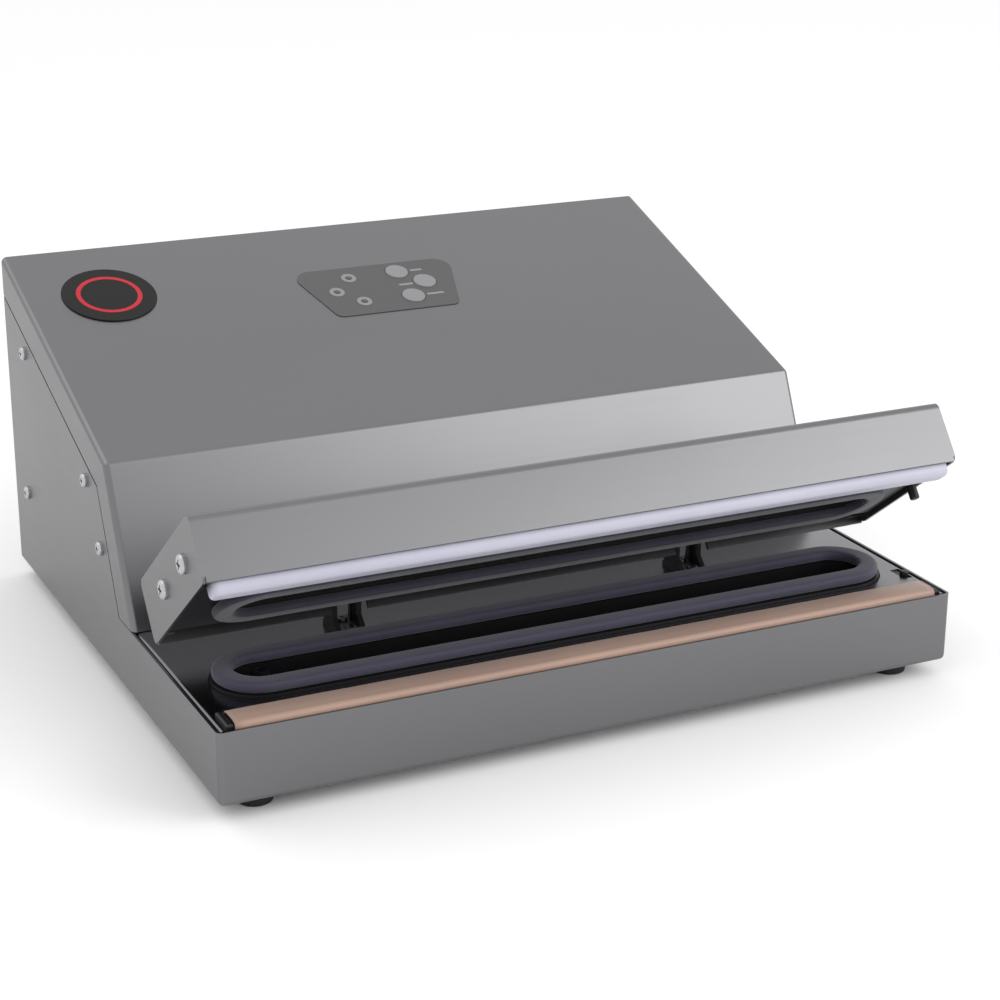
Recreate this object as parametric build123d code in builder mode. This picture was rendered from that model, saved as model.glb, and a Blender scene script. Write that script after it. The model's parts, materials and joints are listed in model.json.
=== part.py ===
from build123d import *
from math import cos, radians, sin, tan
import os

# A table-top vacuum sealer: a stainless cabinet with a sloping top, a deck in front of it with a
# vacuum trough and a seal bar, and a hinged lid that closes over both.
#
# Millimetres. +X is to the right of whoever uses it, +Y goes from front to back, +Z is up. The
# origin is on the surface it stands on, in the middle of the whole object. The lid is drawn open.

os.makedirs("parts", exist_ok=True)

# ---- Cabinet ------------------------------------------------------------------------------------
cabinet_width = 390.0
cabinet_depth = 341.0  # front wall to rear panel
foot_height = 8.0
deck_height = 44.5  # top of the deck above the table
face_start = 124.0  # front wall to the foot of the leaning front face
face_lean = radians(24.6)  # from upright
shoulder_height = 120.4  # where the front face meets the top
top_slope = radians(18.95)
sheet = 1.2
bend = 3.0  # outside radius of every sheet bend
flange = 20.5  # side flanges of the cover
seam = 1.0  # gap between the cover's flanges and the side walls
slip = 0.2  # between sheets that lap
lip = 18.0  # part of the cover that laps behind the side walls
rear_proud = 2.4  # switch and inlet rims behind the rear panel

# ---- Deck, trough and seal bar ------------------------------------------------------------------
deck_gap = 0.5  # between the deck's edge and the pan
deck_bend = 2.5
deck_flange = 12.0
deck_reach = 26.0  # how far the deck runs on under the cover
trough_y = 49.5  # front wall to the trough's centre line
trough_half_length = 180.5
trough_half_width = 23.5
gasket_width = 10.0
gasket_inset = 1.0  # trough rim left outside the gasket
gasket_rise = 6.9  # gasket's top above the deck
rim_rise = 1.5  # trough rim above the deck
trough_floor_height = 28.0
trough_wall = 2.5
trough_fit = 0.5
port_x = -157.0
bar_half_length = 186.0
bar_front = 1.6
bar_width = 15.6
bar_height = 48.0
tape = 0.6
bar_notch_back = 18.7  # front wall to the deck's front edge

# ---- Lid ----------------------------------------------------------------------------------------
lid_width = 393.2
lid_depth = 96.0
lid_rise = 32.0
lid_sheet = 1.5
lid_bend = 4.0
lid_open = radians(37.5)
hinge_y = 90.1  # front wall to the hinge axis
hinge_height = 74.5
hinge_back = 91.1  # lid's front face to the hinge axis
hinge_up = 20.5  # lid's lower edge to the hinge axis
hinge_x = (-99.5, 90.5)
pin_radius = 2.5
pin_fit = 0.04
ear_radius = 5.5
ear_sheet = 2.5
ear_gap = 10.0  # between the two ears of a bracket
pad_drop = 5.7  # silicone pad below the lid's lower edge
pad_half_length = 192.0
upper_gasket_drop = 1.9
peg_x = 188.4
peg_y = 31.5  # front wall to the peg when the lid is closed
peg_radius = 2.5
peg_drop = 8.0
switch_travel = 1.2
screw_rows = (22.0, 59.0)  # end-plate screws, back from the lid's front face
screw_up = 16.0

# ---- Control panel, on the sloping top ----------------------------------------------------------
panel_x = 2.5
panel_low = -93.2  # from the cover's rear edge, down the slope
panel_high = -46.2
panel_low_half = 36.0
panel_high_half = 49.0
panel_sheet = 0.4
button_radius = 6.5
button_gap = 0.25
button_rise = 1.0
button_places = {"pump": (15.3, -55.7), "seal": (27.5, -67.7), "stop": (15.4, -80.7)}
lamp_places = ((-14.3, -57.0), (-26.0, -69.5), (-14.2, -81.1))
lamp_radius = 4.25
board_depth = 9.0  # keypad board below the outside of the cover
badge_place = (-149.0, -48.2)
badge_radius = 25.5
badge_sheet = 0.8

# ---- Feet and fasteners -------------------------------------------------------------------------
foot_radius = 9.5
foot_inset = 22.5  # from the side
foot_front = 18.0
foot_tread = 3.5  # screw head above the floor
side_screw_inset = 29.5  # from the top, measured square to it
side_screw_in = (35.0, 38.0)  # back from the shoulder, forward from the rear panel
face_screw_inset = 32.0
face_screw_height = 72.3
rear_screw_inset = 27.3
rear_screw_height = 56.6
rear_flange = 34.0

# ---- Derived places -----------------------------------------------------------------------------
front = -(cabinet_depth + rear_proud) / 2
half = cabinet_width / 2
floor_top = foot_height + sheet
deck_under = deck_height - sheet
shoulder_y = face_start + (shoulder_height - deck_height) * tan(face_lean)
lid_half = lid_width / 2
shut_front = hinge_y - hinge_back  # the closed lid's front face
shut_height = hinge_height - hinge_up  # the closed lid's lower edge
rear_inside = cabinet_depth - sheet

plan = Plane(origin=(0, front, 0))
side = Plane(origin=(0, front, 0), x_dir=(0, 1, 0), z_dir=(1, 0, 0))
back = Plane(origin=(0, front + cabinet_depth, 0), x_dir=(-1, 0, 0), z_dir=(0, 1, 0))
rear_height = shoulder_height + (cabinet_depth - shoulder_y) * tan(top_slope)
top = Plane(
    origin=(0, front + cabinet_depth, rear_height),
    x_dir=(1, 0, 0),
    z_dir=(0, -sin(top_slope), cos(top_slope)),
)
lid_origin = (
    0,
    front + hinge_y - hinge_back * cos(lid_open) - hinge_up * sin(lid_open),
    hinge_height + hinge_back * sin(lid_open) - hinge_up * cos(lid_open),
)
lid = Plane(origin=lid_origin, x_dir=(1, 0, 0), z_dir=(0, sin(lid_open), cos(lid_open)))
LOW = (Align.MIN, Align.MIN, Align.MIN)
STANDING = (Align.CENTER, Align.CENTER, Align.MIN)
HANGING = (Align.CENTER, Align.CENTER, Align.MAX)


# ---- Shared shapes ------------------------------------------------------------------------------
def face_y(z, inset=0.0):
    """Front wall to the leaning front face at a height, drawn in by inset."""
    return face_start + (z - deck_height) * tan(face_lean) + inset / cos(face_lean)


def top_z(y, inset=0.0):
    """Height of the sloping top at a distance from the front wall, drawn in by inset."""
    return shoulder_height + (y - shoulder_y) * tan(top_slope) - inset / cos(top_slope)


def shoulder(inset=0.0):
    """Where the drawn-in front face and top meet."""
    y = face_y(top_z(0, inset), inset) / (1 - tan(face_lean) * tan(top_slope))
    return y, top_z(y, inset)


def block(x, y, z, frame=plan, mode=Mode.ADD):
    """A box from low to high on each axis of a frame, in the open part."""
    with Locations(frame.location * Location((x[0], y[0], z[0]))):
        Box(x[1] - x[0], y[1] - y[0], z[1] - z[0], align=LOW, mode=mode)


def rod(start, end, radius, frame=plan, mode=Mode.ADD):
    """A round bar from start to end in a frame, in the open part."""
    foot = frame.from_local_coords(Vector(*start))
    line = frame.from_local_coords(Vector(*end)) - foot
    with Locations(Plane(origin=foot, z_dir=line).location):
        Cylinder(radius, line.length, align=STANDING, mode=mode)


def stadium(height, half_length, half_width, amount, frame=plan, y=trough_y, mode=Mode.ADD):
    """A round-ended block along a frame's X axis, from a height, in the open part."""
    straight = half_length - half_width
    high = height + amount
    block((-straight, straight), (y - half_width, y + half_width), (height, high), frame, mode)
    for x in (-straight, straight):
        rod((x, y, height), (x, y, high), half_width, frame, mode)


def ring(reach, y):
    """A round-ended ring along the gaskets' middle line, reach to each side, in the open sketch."""
    with Locations((0, y)):
        SlotOverall(2 * (middle_length + reach), 2 * (middle_width + reach))
        SlotOverall(2 * (middle_length - reach), 2 * (middle_width - reach), mode=Mode.SUBTRACT)


def skin(near, far, half_width, foot, rear, radius):
    """The cover's form between two insets: top and front face in one, outer bends rounded."""
    with BuildPart() as form:
        with BuildSketch(side):
            with BuildLine():
                Polyline(
                    (face_y(foot, near), foot),
                    shoulder(near),
                    (rear, top_z(rear, near)),
                    (rear, top_z(rear, far)),
                    shoulder(far),
                    (face_y(foot, far), foot),
                    close=True,
                )
            make_face()
        extrude(amount=half_width, both=True)
        corner_y, corner_z = shoulder(near)
        crest = form.edges().filter_by(Axis.X)
        bends = [crest.sort_by_distance((0, front + corner_y, corner_z))[0]]
        for x in (-half_width, half_width):
            middle_y = (corner_y + rear) / 2
            middle_z = (corner_z + foot) / 2
            on_top = (x, front + middle_y, top_z(middle_y, near))
            on_face = (x, front + face_y(middle_z, near), middle_z)
            bends.append(form.edges().sort_by_distance(on_top)[0])
            bends.append(form.edges().sort_by_distance(on_face)[0])
        fillet(bends, radius)
    return form.part


def tub(inset, depth, height, radius):
    """The pan's form: a block with its floor and front corners bent round."""
    with BuildPart() as form:
        block(
            (-half + inset, half - inset), (inset, depth), (foot_height + inset, height)
        )
        fillet(form.edges().filter_by(Axis.Z).group_by(Axis.Y)[0], radius)
        fillet(form.faces().sort_by(Axis.Z)[0].edges().sort_by(Axis.Y)[:-1], radius)
    return form.part


def channel(half_width, y, z, radius):
    """A block with its two upper side edges rounded, as the outside or inside of a bent sheet."""
    with BuildPart() as form:
        block((-half_width, half_width), y, z)
        fillet(form.faces().sort_by(Axis.Z)[-1].edges().filter_by(Axis.Y), radius)
    return form.part


def pan_screw(thread, length, head_radius, head_height):
    """A cross-recessed pan-head screw: seat at the origin, head up, thread down."""
    with BuildPart() as screw:
        Cylinder(head_radius, head_height, align=STANDING)
        fillet(screw.edges().group_by(Axis.Z)[-1], head_height * 0.6)
        Cylinder(thread / 2, length, align=HANGING)
        with Locations((0, 0, head_height)):
            for size in ((head_radius, head_radius / 4), (head_radius / 4, head_radius)):
                Box(*size, head_height / 2, align=HANGING, mode=Mode.SUBTRACT)
    return screw.part


def tube(points, radius, bore=0.0):
    """A hose or lead through points in plan, each corner as round as its two runs allow."""
    path = [plan.from_local_coords(Vector(*point)) for point in points]
    runs = [after - before for before, after in zip(path, path[1:])]
    radii = []
    for before, after in zip(runs, runs[1:]):
        turn = radians(before.get_angle(after))
        radii.append(0.45 * min(before.length, after.length) / tan(turn / 2))
    with BuildPart() as form:
        with BuildLine() as line:
            FilletPolyline(*path, radius=radii)
        with BuildSketch(Plane(origin=path[0], z_dir=line.line % 0)):
            Circle(radius)
            if bore:
                Circle(bore, mode=Mode.SUBTRACT)
        sweep()
    return form.part


def write(part, name):
    """Label a finished piece and write its file."""
    part.part.label = name
    export_step(part.part, f"parts/{name}.step")


# ---- base_pan: floor, front wall and side walls in one bent sheet -------------------------------
side_screw_ys = (shoulder_y + side_screw_in[0], cabinet_depth - side_screw_in[1])
side_screw_places = [(y, top_z(y, side_screw_inset)) for y in side_screw_ys]
side_screw_places.append((face_y(face_screw_height, face_screw_inset), face_screw_height))
side_screw_places.append((cabinet_depth - rear_screw_inset, rear_screw_height))
foot_rear = cabinet_depth - foot_front
foot_places = [
    (x, y) for x in (-half + foot_inset, half - foot_inset) for y in (foot_front, foot_rear)
]
foot_screw_radius = 2.0
side_screw_radius = 1.75
vent_slot = (34.0, 4.0)
vent_pitch = 9.0
vent_rows = 9
floor_vent_x, floor_vent_back = -70.0, 41.0

with BuildPart() as base_pan:
    add(tub(0, cabinet_depth, top_z(cabinet_depth), bend))
    add(
        tub(sheet, cabinet_depth + bend, top_z(cabinet_depth) + bend, bend - sheet),
        mode=Mode.SUBTRACT,
    )
    with BuildSketch(side):
        with BuildLine():
            Polyline(
                (0, foot_height),
                (0, deck_height),
                (face_y(deck_height, flange), deck_height),
                shoulder(flange),
                (cabinet_depth, top_z(cabinet_depth, flange)),
                (cabinet_depth, foot_height),
                close=True,
            )
        make_face()
    extrude(amount=half, both=True, mode=Mode.INTERSECT)
    with BuildSketch(side):
        with Locations(*side_screw_places):
            Circle(side_screw_radius + slip)
    extrude(amount=half, both=True, mode=Mode.SUBTRACT)
    with BuildSketch(plan.offset(foot_height)):
        with Locations(*foot_places):
            Circle(foot_screw_radius + slip)
        with Locations((floor_vent_x, cabinet_depth - floor_vent_back)):
            with GridLocations(vent_pitch, 0, vent_rows, 1):
                SlotOverall(*vent_slot, rotation=90)
    extrude(amount=sheet, mode=Mode.SUBTRACT)
write(base_pan, "base_pan")

# ---- deck_plate: lies between the side walls, its edges turned down -----------------------------
deck_half = half - sheet - deck_gap
deck_rear = face_start + deck_reach
notch_margin = 0.8  # between the bar's notch and the deck's side bends
notch_half = deck_half - deck_bend - notch_margin
switch_slot = (5.4, 13.0)
slot_place = (peg_x - 0.3, peg_y + 2)
bracket_screw_ys = (80.0, 92.0)
bracket_screw_radius = 1.5

with BuildPart() as deck_plate:
    deck_z = (deck_height - deck_flange, deck_height)
    add(channel(deck_half, (bar_front + deck_gap, deck_rear), deck_z, deck_bend))
    add(
        channel(
            deck_half - sheet, (0, deck_rear + bend), (0, deck_under), deck_bend - sheet
        ),
        mode=Mode.SUBTRACT,
    )
    block(
        (-notch_half, notch_half),
        (0, bar_notch_back),
        (0, deck_height + bend),
        mode=Mode.SUBTRACT,
    )
    block(
        (-notch_half + bend, notch_half - bend),
        (bar_notch_back, bar_notch_back + sheet),
        (deck_height - deck_flange, deck_under),
    )
    with BuildSketch(plan.offset(deck_height)):
        with Locations((0, trough_y)):
            SlotOverall(
                2 * (trough_half_length + trough_fit), 2 * (trough_half_width + trough_fit)
            )
        with Locations(slot_place):
            Rectangle(*switch_slot)
        with Locations(*[(x, y) for x in hinge_x for y in bracket_screw_ys]):
            Circle(bracket_screw_radius + slip)
    extrude(amount=-2 * sheet, mode=Mode.SUBTRACT)
write(deck_plate, "deck_plate")

# ---- cover: sloping top and leaning front face, with lapped side flanges ------------------------
cover_foot = deck_height + 0.4
cover_hem = 10.0  # turned back over the deck
cover_lap_half = half - sheet - slip  # outside of the lip, behind the side wall
button_hole = button_radius + button_gap
lamp_stem = 2.0

with BuildPart() as cover:
    add(skin(0, flange - seam, half, cover_foot, cabinet_depth, bend))
    inner = skin(
        sheet, flange + lip, half - sheet, cover_foot - bend, cabinet_depth + bend, bend - sheet
    )
    add(inner, mode=Mode.SUBTRACT)
    for near, far, half_out in (
        (flange - seam - 2 * sheet, flange + lip, cover_lap_half),
        (flange - seam - 2 * sheet, flange - seam, half),
    ):
        with BuildSketch(side.offset(cover_lap_half - sheet)):
            with BuildLine():
                rear = rear_inside - 2 * sheet
                Polyline(
                    (face_y(cover_foot, near), cover_foot),
                    shoulder(near),
                    (rear, top_z(rear, near)),
                    (rear, top_z(rear, far)),
                    shoulder(far),
                    (face_y(cover_foot, far), cover_foot),
                    close=True,
                )
            make_face()
        lapped = extrude(amount=half_out - cover_lap_half + sheet)
        mirror(lapped, about=Plane.YZ)
    foot_y = face_y(cover_foot, sheet / 2)
    block(
        (-half + flange, half - flange),
        (foot_y, foot_y + cover_hem),
        (cover_foot, cover_foot + sheet),
    )
    with BuildSketch(side):
        with Locations(*side_screw_places[:3]):
            Circle(side_screw_radius)
    extrude(amount=half, both=True, mode=Mode.SUBTRACT)
    with BuildSketch(top):
        with Locations(*button_places.values()):
            Circle(button_hole)
        with Locations(*lamp_places):
            Circle(lamp_stem + button_gap)
    extrude(amount=-2 * sheet, mode=Mode.SUBTRACT)
write(cover, "cover")

# ---- rear_panel: vented back sheet with flanges turned forward ----------------------------------
panel_half = half - sheet - 2 * slip
rear_low = floor_top + slip
rear_high = top_z(cabinet_depth - sheet, sheet) - slip
flange_high = 128.0
vent_place = (70.0, 96.0)  # from behind, x to the left
inlet_x, inlet_z = 143.0, 44.0  # seen from the front
inlet_cut = (28.0, 32.0)
inlet_hole_pitch = 40.0
switch_x, switch_z = 92.0, 44.0
switch_cut = (28.0, 22.0)
rear_hem, rear_foot = 14.0, 12.0  # turned forward at the top and at the bottom
rear_vent = (36.0, 4.0)
rear_vent_gap = 44.0

with BuildPart() as rear_panel:
    block((-panel_half, panel_half), (rear_inside, cabinet_depth), (rear_low, rear_high))
    fillet(rear_panel.edges().filter_by(Axis.Y), bend)
    with BuildSketch(side):
        with BuildLine():
            reach = rear_inside - rear_hem
            Polyline(
                (cabinet_depth, top_z(cabinet_depth, sheet + slip)),
                (reach, top_z(reach, sheet + slip)),
                (reach, top_z(reach, 2 * sheet + slip)),
                (cabinet_depth, top_z(cabinet_depth, 2 * sheet + slip)),
                close=True,
            )
        make_face()
    extrude(amount=panel_half - bend, both=True)
    for x in (-1, 1):
        edges = sorted((x * panel_half, x * (panel_half - sheet)))
        block(edges, (cabinet_depth - rear_flange, rear_inside), (rear_low + bend, flange_high))
    block(
        (-panel_half + bend, panel_half - bend),
        (rear_inside - rear_foot, rear_inside),
        (rear_low, rear_low + sheet),
    )
    with BuildSketch(back):
        with Locations((-switch_x, switch_z)):
            Rectangle(*switch_cut)
        with Locations((-inlet_x, inlet_z)):
            Rectangle(*inlet_cut)
            with GridLocations(inlet_hole_pitch, 0, 2, 1):
                Circle(side_screw_radius)
        with Locations(vent_place):
            with GridLocations(rear_vent_gap, vent_pitch, 3, vent_rows):
                SlotOverall(*rear_vent)
    extrude(amount=-sheet, mode=Mode.SUBTRACT)
    with BuildSketch(side):
        with Locations(side_screw_places[3]):
            Circle(side_screw_radius)
    extrude(amount=half, both=True, mode=Mode.SUBTRACT)
write(rear_panel, "rear_panel")

# ---- side_screws: four to a side, through the wall into the sheet behind it ---------------------
side_screw = pan_screw(2 * side_screw_radius, 9.0, 3.6, 2.2)
with BuildPart() as side_screws:
    for x in (-1, 1):
        wall = Plane(origin=(x * half, front, 0), x_dir=(0, x, 0), z_dir=(x, 0, 0))
        for y, z in side_screw_places:
            with Locations(wall.location * Location((x * y, z, 0))):
                add(side_screw)
write(side_screws, "side_screws")

# ---- feet and foot_screws -----------------------------------------------------------------------
foot_seat_radius = 4.6
with BuildPart() as feet:
    for x, y in foot_places:
        with Locations((x, front + y, 0)):
            Cone(foot_radius - 1, foot_radius, foot_height, align=STANDING)
            Cylinder(foot_seat_radius, foot_tread, align=STANDING, mode=Mode.SUBTRACT)
            Cylinder(
                foot_screw_radius + slip, foot_height, align=STANDING, mode=Mode.SUBTRACT
            )
write(feet, "feet")

foot_nut_height = 3.2
foot_screw = pan_screw(
    2 * foot_screw_radius, floor_top + foot_nut_height + 1 - foot_tread, 3.8, 2.4
)
with BuildPart() as foot_screws:
    for x, y in foot_places:
        with Locations(Plane(origin=(x, front + y, foot_tread), z_dir=(0, 0, -1)).location):
            add(foot_screw)
        with BuildSketch(plan.offset(floor_top)):
            with Locations((x, y)):
                RegularPolygon(3.5, 6, major_radius=False)
        extrude(amount=foot_nut_height)
write(foot_screws, "foot_screws")

# ---- vacuum_trough: black trough with a gasket seat, hung in the deck ---------------------------
seat_outer_length = trough_half_length - gasket_inset
seat_outer_width = trough_half_width - gasket_inset
pocket_length = seat_outer_length - gasket_width
pocket_width = seat_outer_width - gasket_width
middle_length = seat_outer_length - gasket_width / 2
middle_width = seat_outer_width - gasket_width / 2
rim_top = deck_height + rim_rise
trough_under = trough_floor_height - trough_wall
collar_reach = 3.5  # trough collar beneath the deck
collar_sheet = 2.5
collar_low = deck_under - collar_sheet - slip
tongue_reach, tongue_depth = 1.2, 2.6
tongue_fit = 0.1
groove_reach = tongue_reach + tongue_fit
post_x = (-60.0, 60.0)
trough_screw_radius = 2.0
port_radius, port_bore = 4.5, 2.5
port_top = 49.0

with BuildPart() as vacuum_trough:
    wall_length, wall_width = pocket_length + trough_wall, pocket_width + trough_wall
    stadium(trough_under, wall_length, wall_width, rim_top - trough_under)
    stadium(collar_low, trough_half_length, trough_half_width, rim_top - collar_low)
    collar_length, collar_width = trough_half_length + collar_reach, trough_half_width + collar_reach
    stadium(collar_low, collar_length, collar_width, collar_sheet)
    stadium(trough_floor_height, pocket_length, pocket_width, rim_top, mode=Mode.SUBTRACT)
    with BuildSketch(plan.offset(rim_top)):
        ring(groove_reach, trough_y)
    extrude(amount=-tongue_depth, mode=Mode.SUBTRACT)
    with BuildSketch(plan.offset(trough_floor_height)):
        with Locations(*[(x, trough_y) for x in post_x]):
            Circle(trough_screw_radius + slip)
        with Locations((port_x, trough_y)):
            Circle(port_radius + tongue_fit)
    extrude(amount=-2 * trough_wall, mode=Mode.SUBTRACT)
write(vacuum_trough, "vacuum_trough")

# ---- lower_gasket: closed loop with a tongue in the trough's groove -----------------------------
gasket_top = deck_height + gasket_rise
gasket_bevel = 2.2
with BuildPart() as lower_gasket:
    stadium(rim_top, seat_outer_length, seat_outer_width, gasket_top - rim_top)
    outer_rim = lower_gasket.faces().sort_by(Axis.Z)[-1].edges()
    chamfer(outer_rim, gasket_bevel)
    stadium(rim_top, pocket_length, pocket_width, gasket_rise, mode=Mode.SUBTRACT)
    with BuildSketch(plan.offset(rim_top)):
        ring(tongue_reach, trough_y)
    extrude(amount=-(tongue_depth - tongue_fit))
write(lower_gasket, "lower_gasket")

# ---- suction_port: raised nozzle, its barb under the trough -------------------------------------
barb_height = 18.5
barb_radius = 3.0
barb_end = trough_y + 20.0
port_flange, port_nut = 7.5, 3.0
port_flange_top = trough_floor_height + 1.6
port_sump = 2.2  # bore's end below the barb's axis
with BuildPart() as suction_port:
    centre = (port_x, trough_y)
    rod((*centre, barb_height - barb_radius - 1), (*centre, port_top), port_radius)
    rod((*centre, trough_floor_height), (*centre, port_flange_top), port_flange)
    rod((*centre, trough_under - port_nut), (*centre, trough_under), port_flange)
    rod((port_x, trough_y, barb_height), (port_x, barb_end, barb_height), barb_radius)
    rod((*centre, barb_height - port_sump), (*centre, port_top), port_bore, mode=Mode.SUBTRACT)
    rod(
        (port_x, trough_y, barb_height),
        (port_x, barb_end, barb_height),
        barb_radius / 2,
        mode=Mode.SUBTRACT,
    )
write(suction_port, "suction_port")

# ---- seal bar: supports, base, heating strip, tape, end blocks and terminals --------------------
bar_back = bar_front + bar_width
bar_middle = (bar_front + bar_back) / 2
bar_low = 26.0
bar_round = 2.4
strip_width = 7.0
strip_sheet = 0.3
support_x = 110.0
terminal_x = bar_half_length - 8
terminal_radius = 2.5
tape_skirt = 7.0


def bar_form(inset, low, half_length):
    """The seal bar's section: upright sides, rounded upper edges, drawn in by inset."""
    high = bar_height - inset
    with BuildPart() as form:
        block((-half_length, half_length), (bar_front + inset, bar_back - inset), (low, high))
        fillet(form.faces().sort_by(Axis.Z)[-1].edges().filter_by(Axis.X), bar_round - inset)
    return form.part


strip_height = bar_height - tape - strip_sheet
with BuildPart() as seal_bar_base:
    add(bar_form(tape + strip_sheet, bar_low, bar_half_length - slip))
    for x in (-terminal_x, terminal_x):
        rod(
            (x, bar_middle, bar_low - 1),
            (x, bar_middle, bar_height),
            terminal_radius,
            mode=Mode.SUBTRACT,
        )
write(seal_bar_base, "seal_bar_base")

with BuildPart() as heating_strip:
    strip_y = (bar_middle - strip_width / 2, bar_middle + strip_width / 2)
    strip_x = bar_half_length - slip
    block((-strip_x, strip_x), strip_y, (strip_height, strip_height + strip_sheet))
write(heating_strip, "heating_strip")

with BuildPart() as seal_tape:
    add(bar_form(0, bar_height - tape_skirt, bar_half_length))
    add(
        bar_form(tape, bar_height - 2 * tape_skirt, bar_half_length + bend), mode=Mode.SUBTRACT
    )
write(seal_tape, "seal_tape")

end_block_drop = 1.4  # below the bar's top
end_block_fit = 0.6
end_block_round = 1.2
with BuildPart() as bar_end_blocks:
    block(
        (bar_half_length + slip, notch_half - slip),
        (bar_front + 2 * end_block_fit, bar_notch_back - end_block_fit),
        (bar_low, bar_height - end_block_drop),
    )
    fillet(bar_end_blocks.faces().sort_by(Axis.Z)[-1].edges(), end_block_round)
    mirror(about=Plane.YZ)
write(bar_end_blocks, "bar_end_blocks")

support_inset = 2.0
support_half, end_support_half = 15.0, 4.0
end_support_x = terminal_x - 12.0
with BuildPart() as bar_supports:
    for x, reach in (
        (-end_support_x, end_support_half),
        (-support_x, support_half),
        (support_x, support_half),
        (end_support_x, end_support_half),
    ):
        block(
            (x - reach, x + reach),
            (bar_front + support_inset, bar_back - support_inset),
            (floor_top, bar_low),
        )
write(bar_supports, "bar_supports")

post_low = 14.0
terminal_nut_radius, terminal_nut = 4.0, 4.0
with BuildPart() as terminal_posts:
    for x in (-terminal_x, terminal_x):
        rod((x, bar_middle, post_low), (x, bar_middle, strip_height), terminal_radius)
        rod((x, bar_middle, bar_low - terminal_nut), (x, bar_middle, bar_low), terminal_nut_radius)
write(terminal_posts, "terminal_posts")

# ---- hinge_brackets: a base plate with two ears, on the deck ------------------------------------
ear_half = ear_gap / 2 + ear_sheet
bracket_plate = 2.5
bracket_front, bracket_back = 74.0, 98.0
ear_foot_height = 52.0
ear_foot = (77.0, 97.0)

with BuildPart() as hinge_brackets:
    for x in hinge_x:
        block(
            (x - ear_half, x + ear_half),
            (bracket_front, bracket_back),
            (deck_height, deck_height + bracket_plate),
        )
        for low in (x - ear_half, x + ear_gap / 2):
            with BuildSketch(side.offset(low)):
                with BuildLine():
                    Polyline(
                        (ear_foot[0], deck_height),
                        (hinge_y - ear_radius, ear_foot_height),
                        (hinge_y - ear_radius, hinge_height),
                        (hinge_y + ear_radius, hinge_height),
                        (hinge_y + ear_radius, ear_foot_height),
                        (ear_foot[1], deck_height),
                        close=True,
                    )
                make_face()
                with Locations((hinge_y, hinge_height)):
                    Circle(ear_radius)
            extrude(amount=ear_sheet)
        rod(
            (x - 2 * ear_half, hinge_y, hinge_height),
            (x + 2 * ear_half, hinge_y, hinge_height),
            pin_radius,
            mode=Mode.SUBTRACT,
        )
        for y in bracket_screw_ys:
            rod(
                (x, y, deck_under),
                (x, y, deck_height + 2 * bracket_plate),
                bracket_screw_radius + slip,
                mode=Mode.SUBTRACT,
            )
write(hinge_brackets, "hinge_brackets")

pin_head_radius, pin_head = 3.6, 1.0
with BuildPart() as hinge_pins:
    for x in hinge_x:
        ends = (x - ear_half - pin_head, x + ear_half + pin_head)
        rod((ends[0], hinge_y, hinge_height), (ends[1], hinge_y, hinge_height), pin_radius)
        for low in (ends[0], x + ear_half):
            rod(
                (low, hinge_y, hinge_height),
                (low + pin_head, hinge_y, hinge_height),
                pin_head_radius,
            )
write(hinge_pins, "hinge_pins")

# ---- lid_shell: front, top and rear of the lid in one bent sheet --------------------------------
shell_half = lid_half - lid_sheet
notch_reach = ear_half + pin_head + 1.0
notch_up = hinge_up + ear_radius + 1.2
return_flange = 8.0


def lid_form(inset, low, half_width, radius):
    """The lid's section from its lower edge up, its two upper bends rounded."""
    with BuildPart() as form:
        sides = (inset, lid_depth - inset)
        block((-half_width, half_width), sides, (low, lid_rise - inset), lid)
        upper = form.faces().sort_by(lid_axis)[-1].edges().filter_by(Axis.X)
        fillet(upper, radius)
    return form.part


lid_axis = Axis(lid_origin, (0, sin(lid_open), cos(lid_open)))
with BuildPart() as lid_shell:
    add(lid_form(0, 0, shell_half, lid_bend))
    add(lid_form(lid_sheet, -bend, shell_half + bend, lid_bend - lid_sheet), mode=Mode.SUBTRACT)
    for x in hinge_x:
        block(
            (x - notch_reach, x + notch_reach),
            (lid_depth - lid_bend, lid_depth + 1),
            (-1, notch_up),
            lid,
            Mode.SUBTRACT,
        )
write(lid_shell, "lid_shell")

# ---- lid_end_plates -----------------------------------------------------------------------------
end_screw_radius = 2.5
end_screw_length = 14.0
with BuildPart() as lid_end_plates:
    block((shell_half, lid_half), (0, lid_depth), (0, lid_rise), lid)
    fillet(lid_end_plates.edges().filter_by(Axis.X), lid_bend)
    block(
        (shell_half - return_flange, shell_half),
        (lid_depth - 2 * lid_sheet - slip, lid_depth - lid_sheet - slip),
        (lid_bend, lid_rise - 2 * lid_bend),
        lid,
    )
    for u in screw_rows:
        rod(
            (shell_half - 1, u, screw_up),
            (lid_half + 1, u, screw_up),
            end_screw_radius + slip,
            lid,
            Mode.SUBTRACT,
        )
    mirror(about=Plane.YZ)
write(lid_end_plates, "lid_end_plates")

# ---- lid_tray: black carrier with the upper gasket's seat ---------------------------------------
tray_half = shell_half - slip
tray_sides = (16.5, 84.0)
tray_sheet = 2.5
seat_up = 2.6  # gasket seat above the lid's lower edge
boss_up = 17.0
pocket_up = 14.5
upper_y = trough_y - shut_front  # the closed gaskets face each other
peg_u = peg_y - shut_front
peg_stem = 1.5
end_block = (181.5, 17.0, 66.0, 24.0)

leaf_high = 2.8
leaf_front = 50.0
barrel_radius = 4.8
leaf_side = (-ear_gap / 2 + 0.3, -0.2)  # one half of the bracket's gap, the spring has the other
leaf_screw_us = (56.0, 66.0)
leaf_screw_radius = 1.25
leaf_low = boss_up + slip
tray_screw_x = 157.0
tray_screw_radius = 1.5

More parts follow.
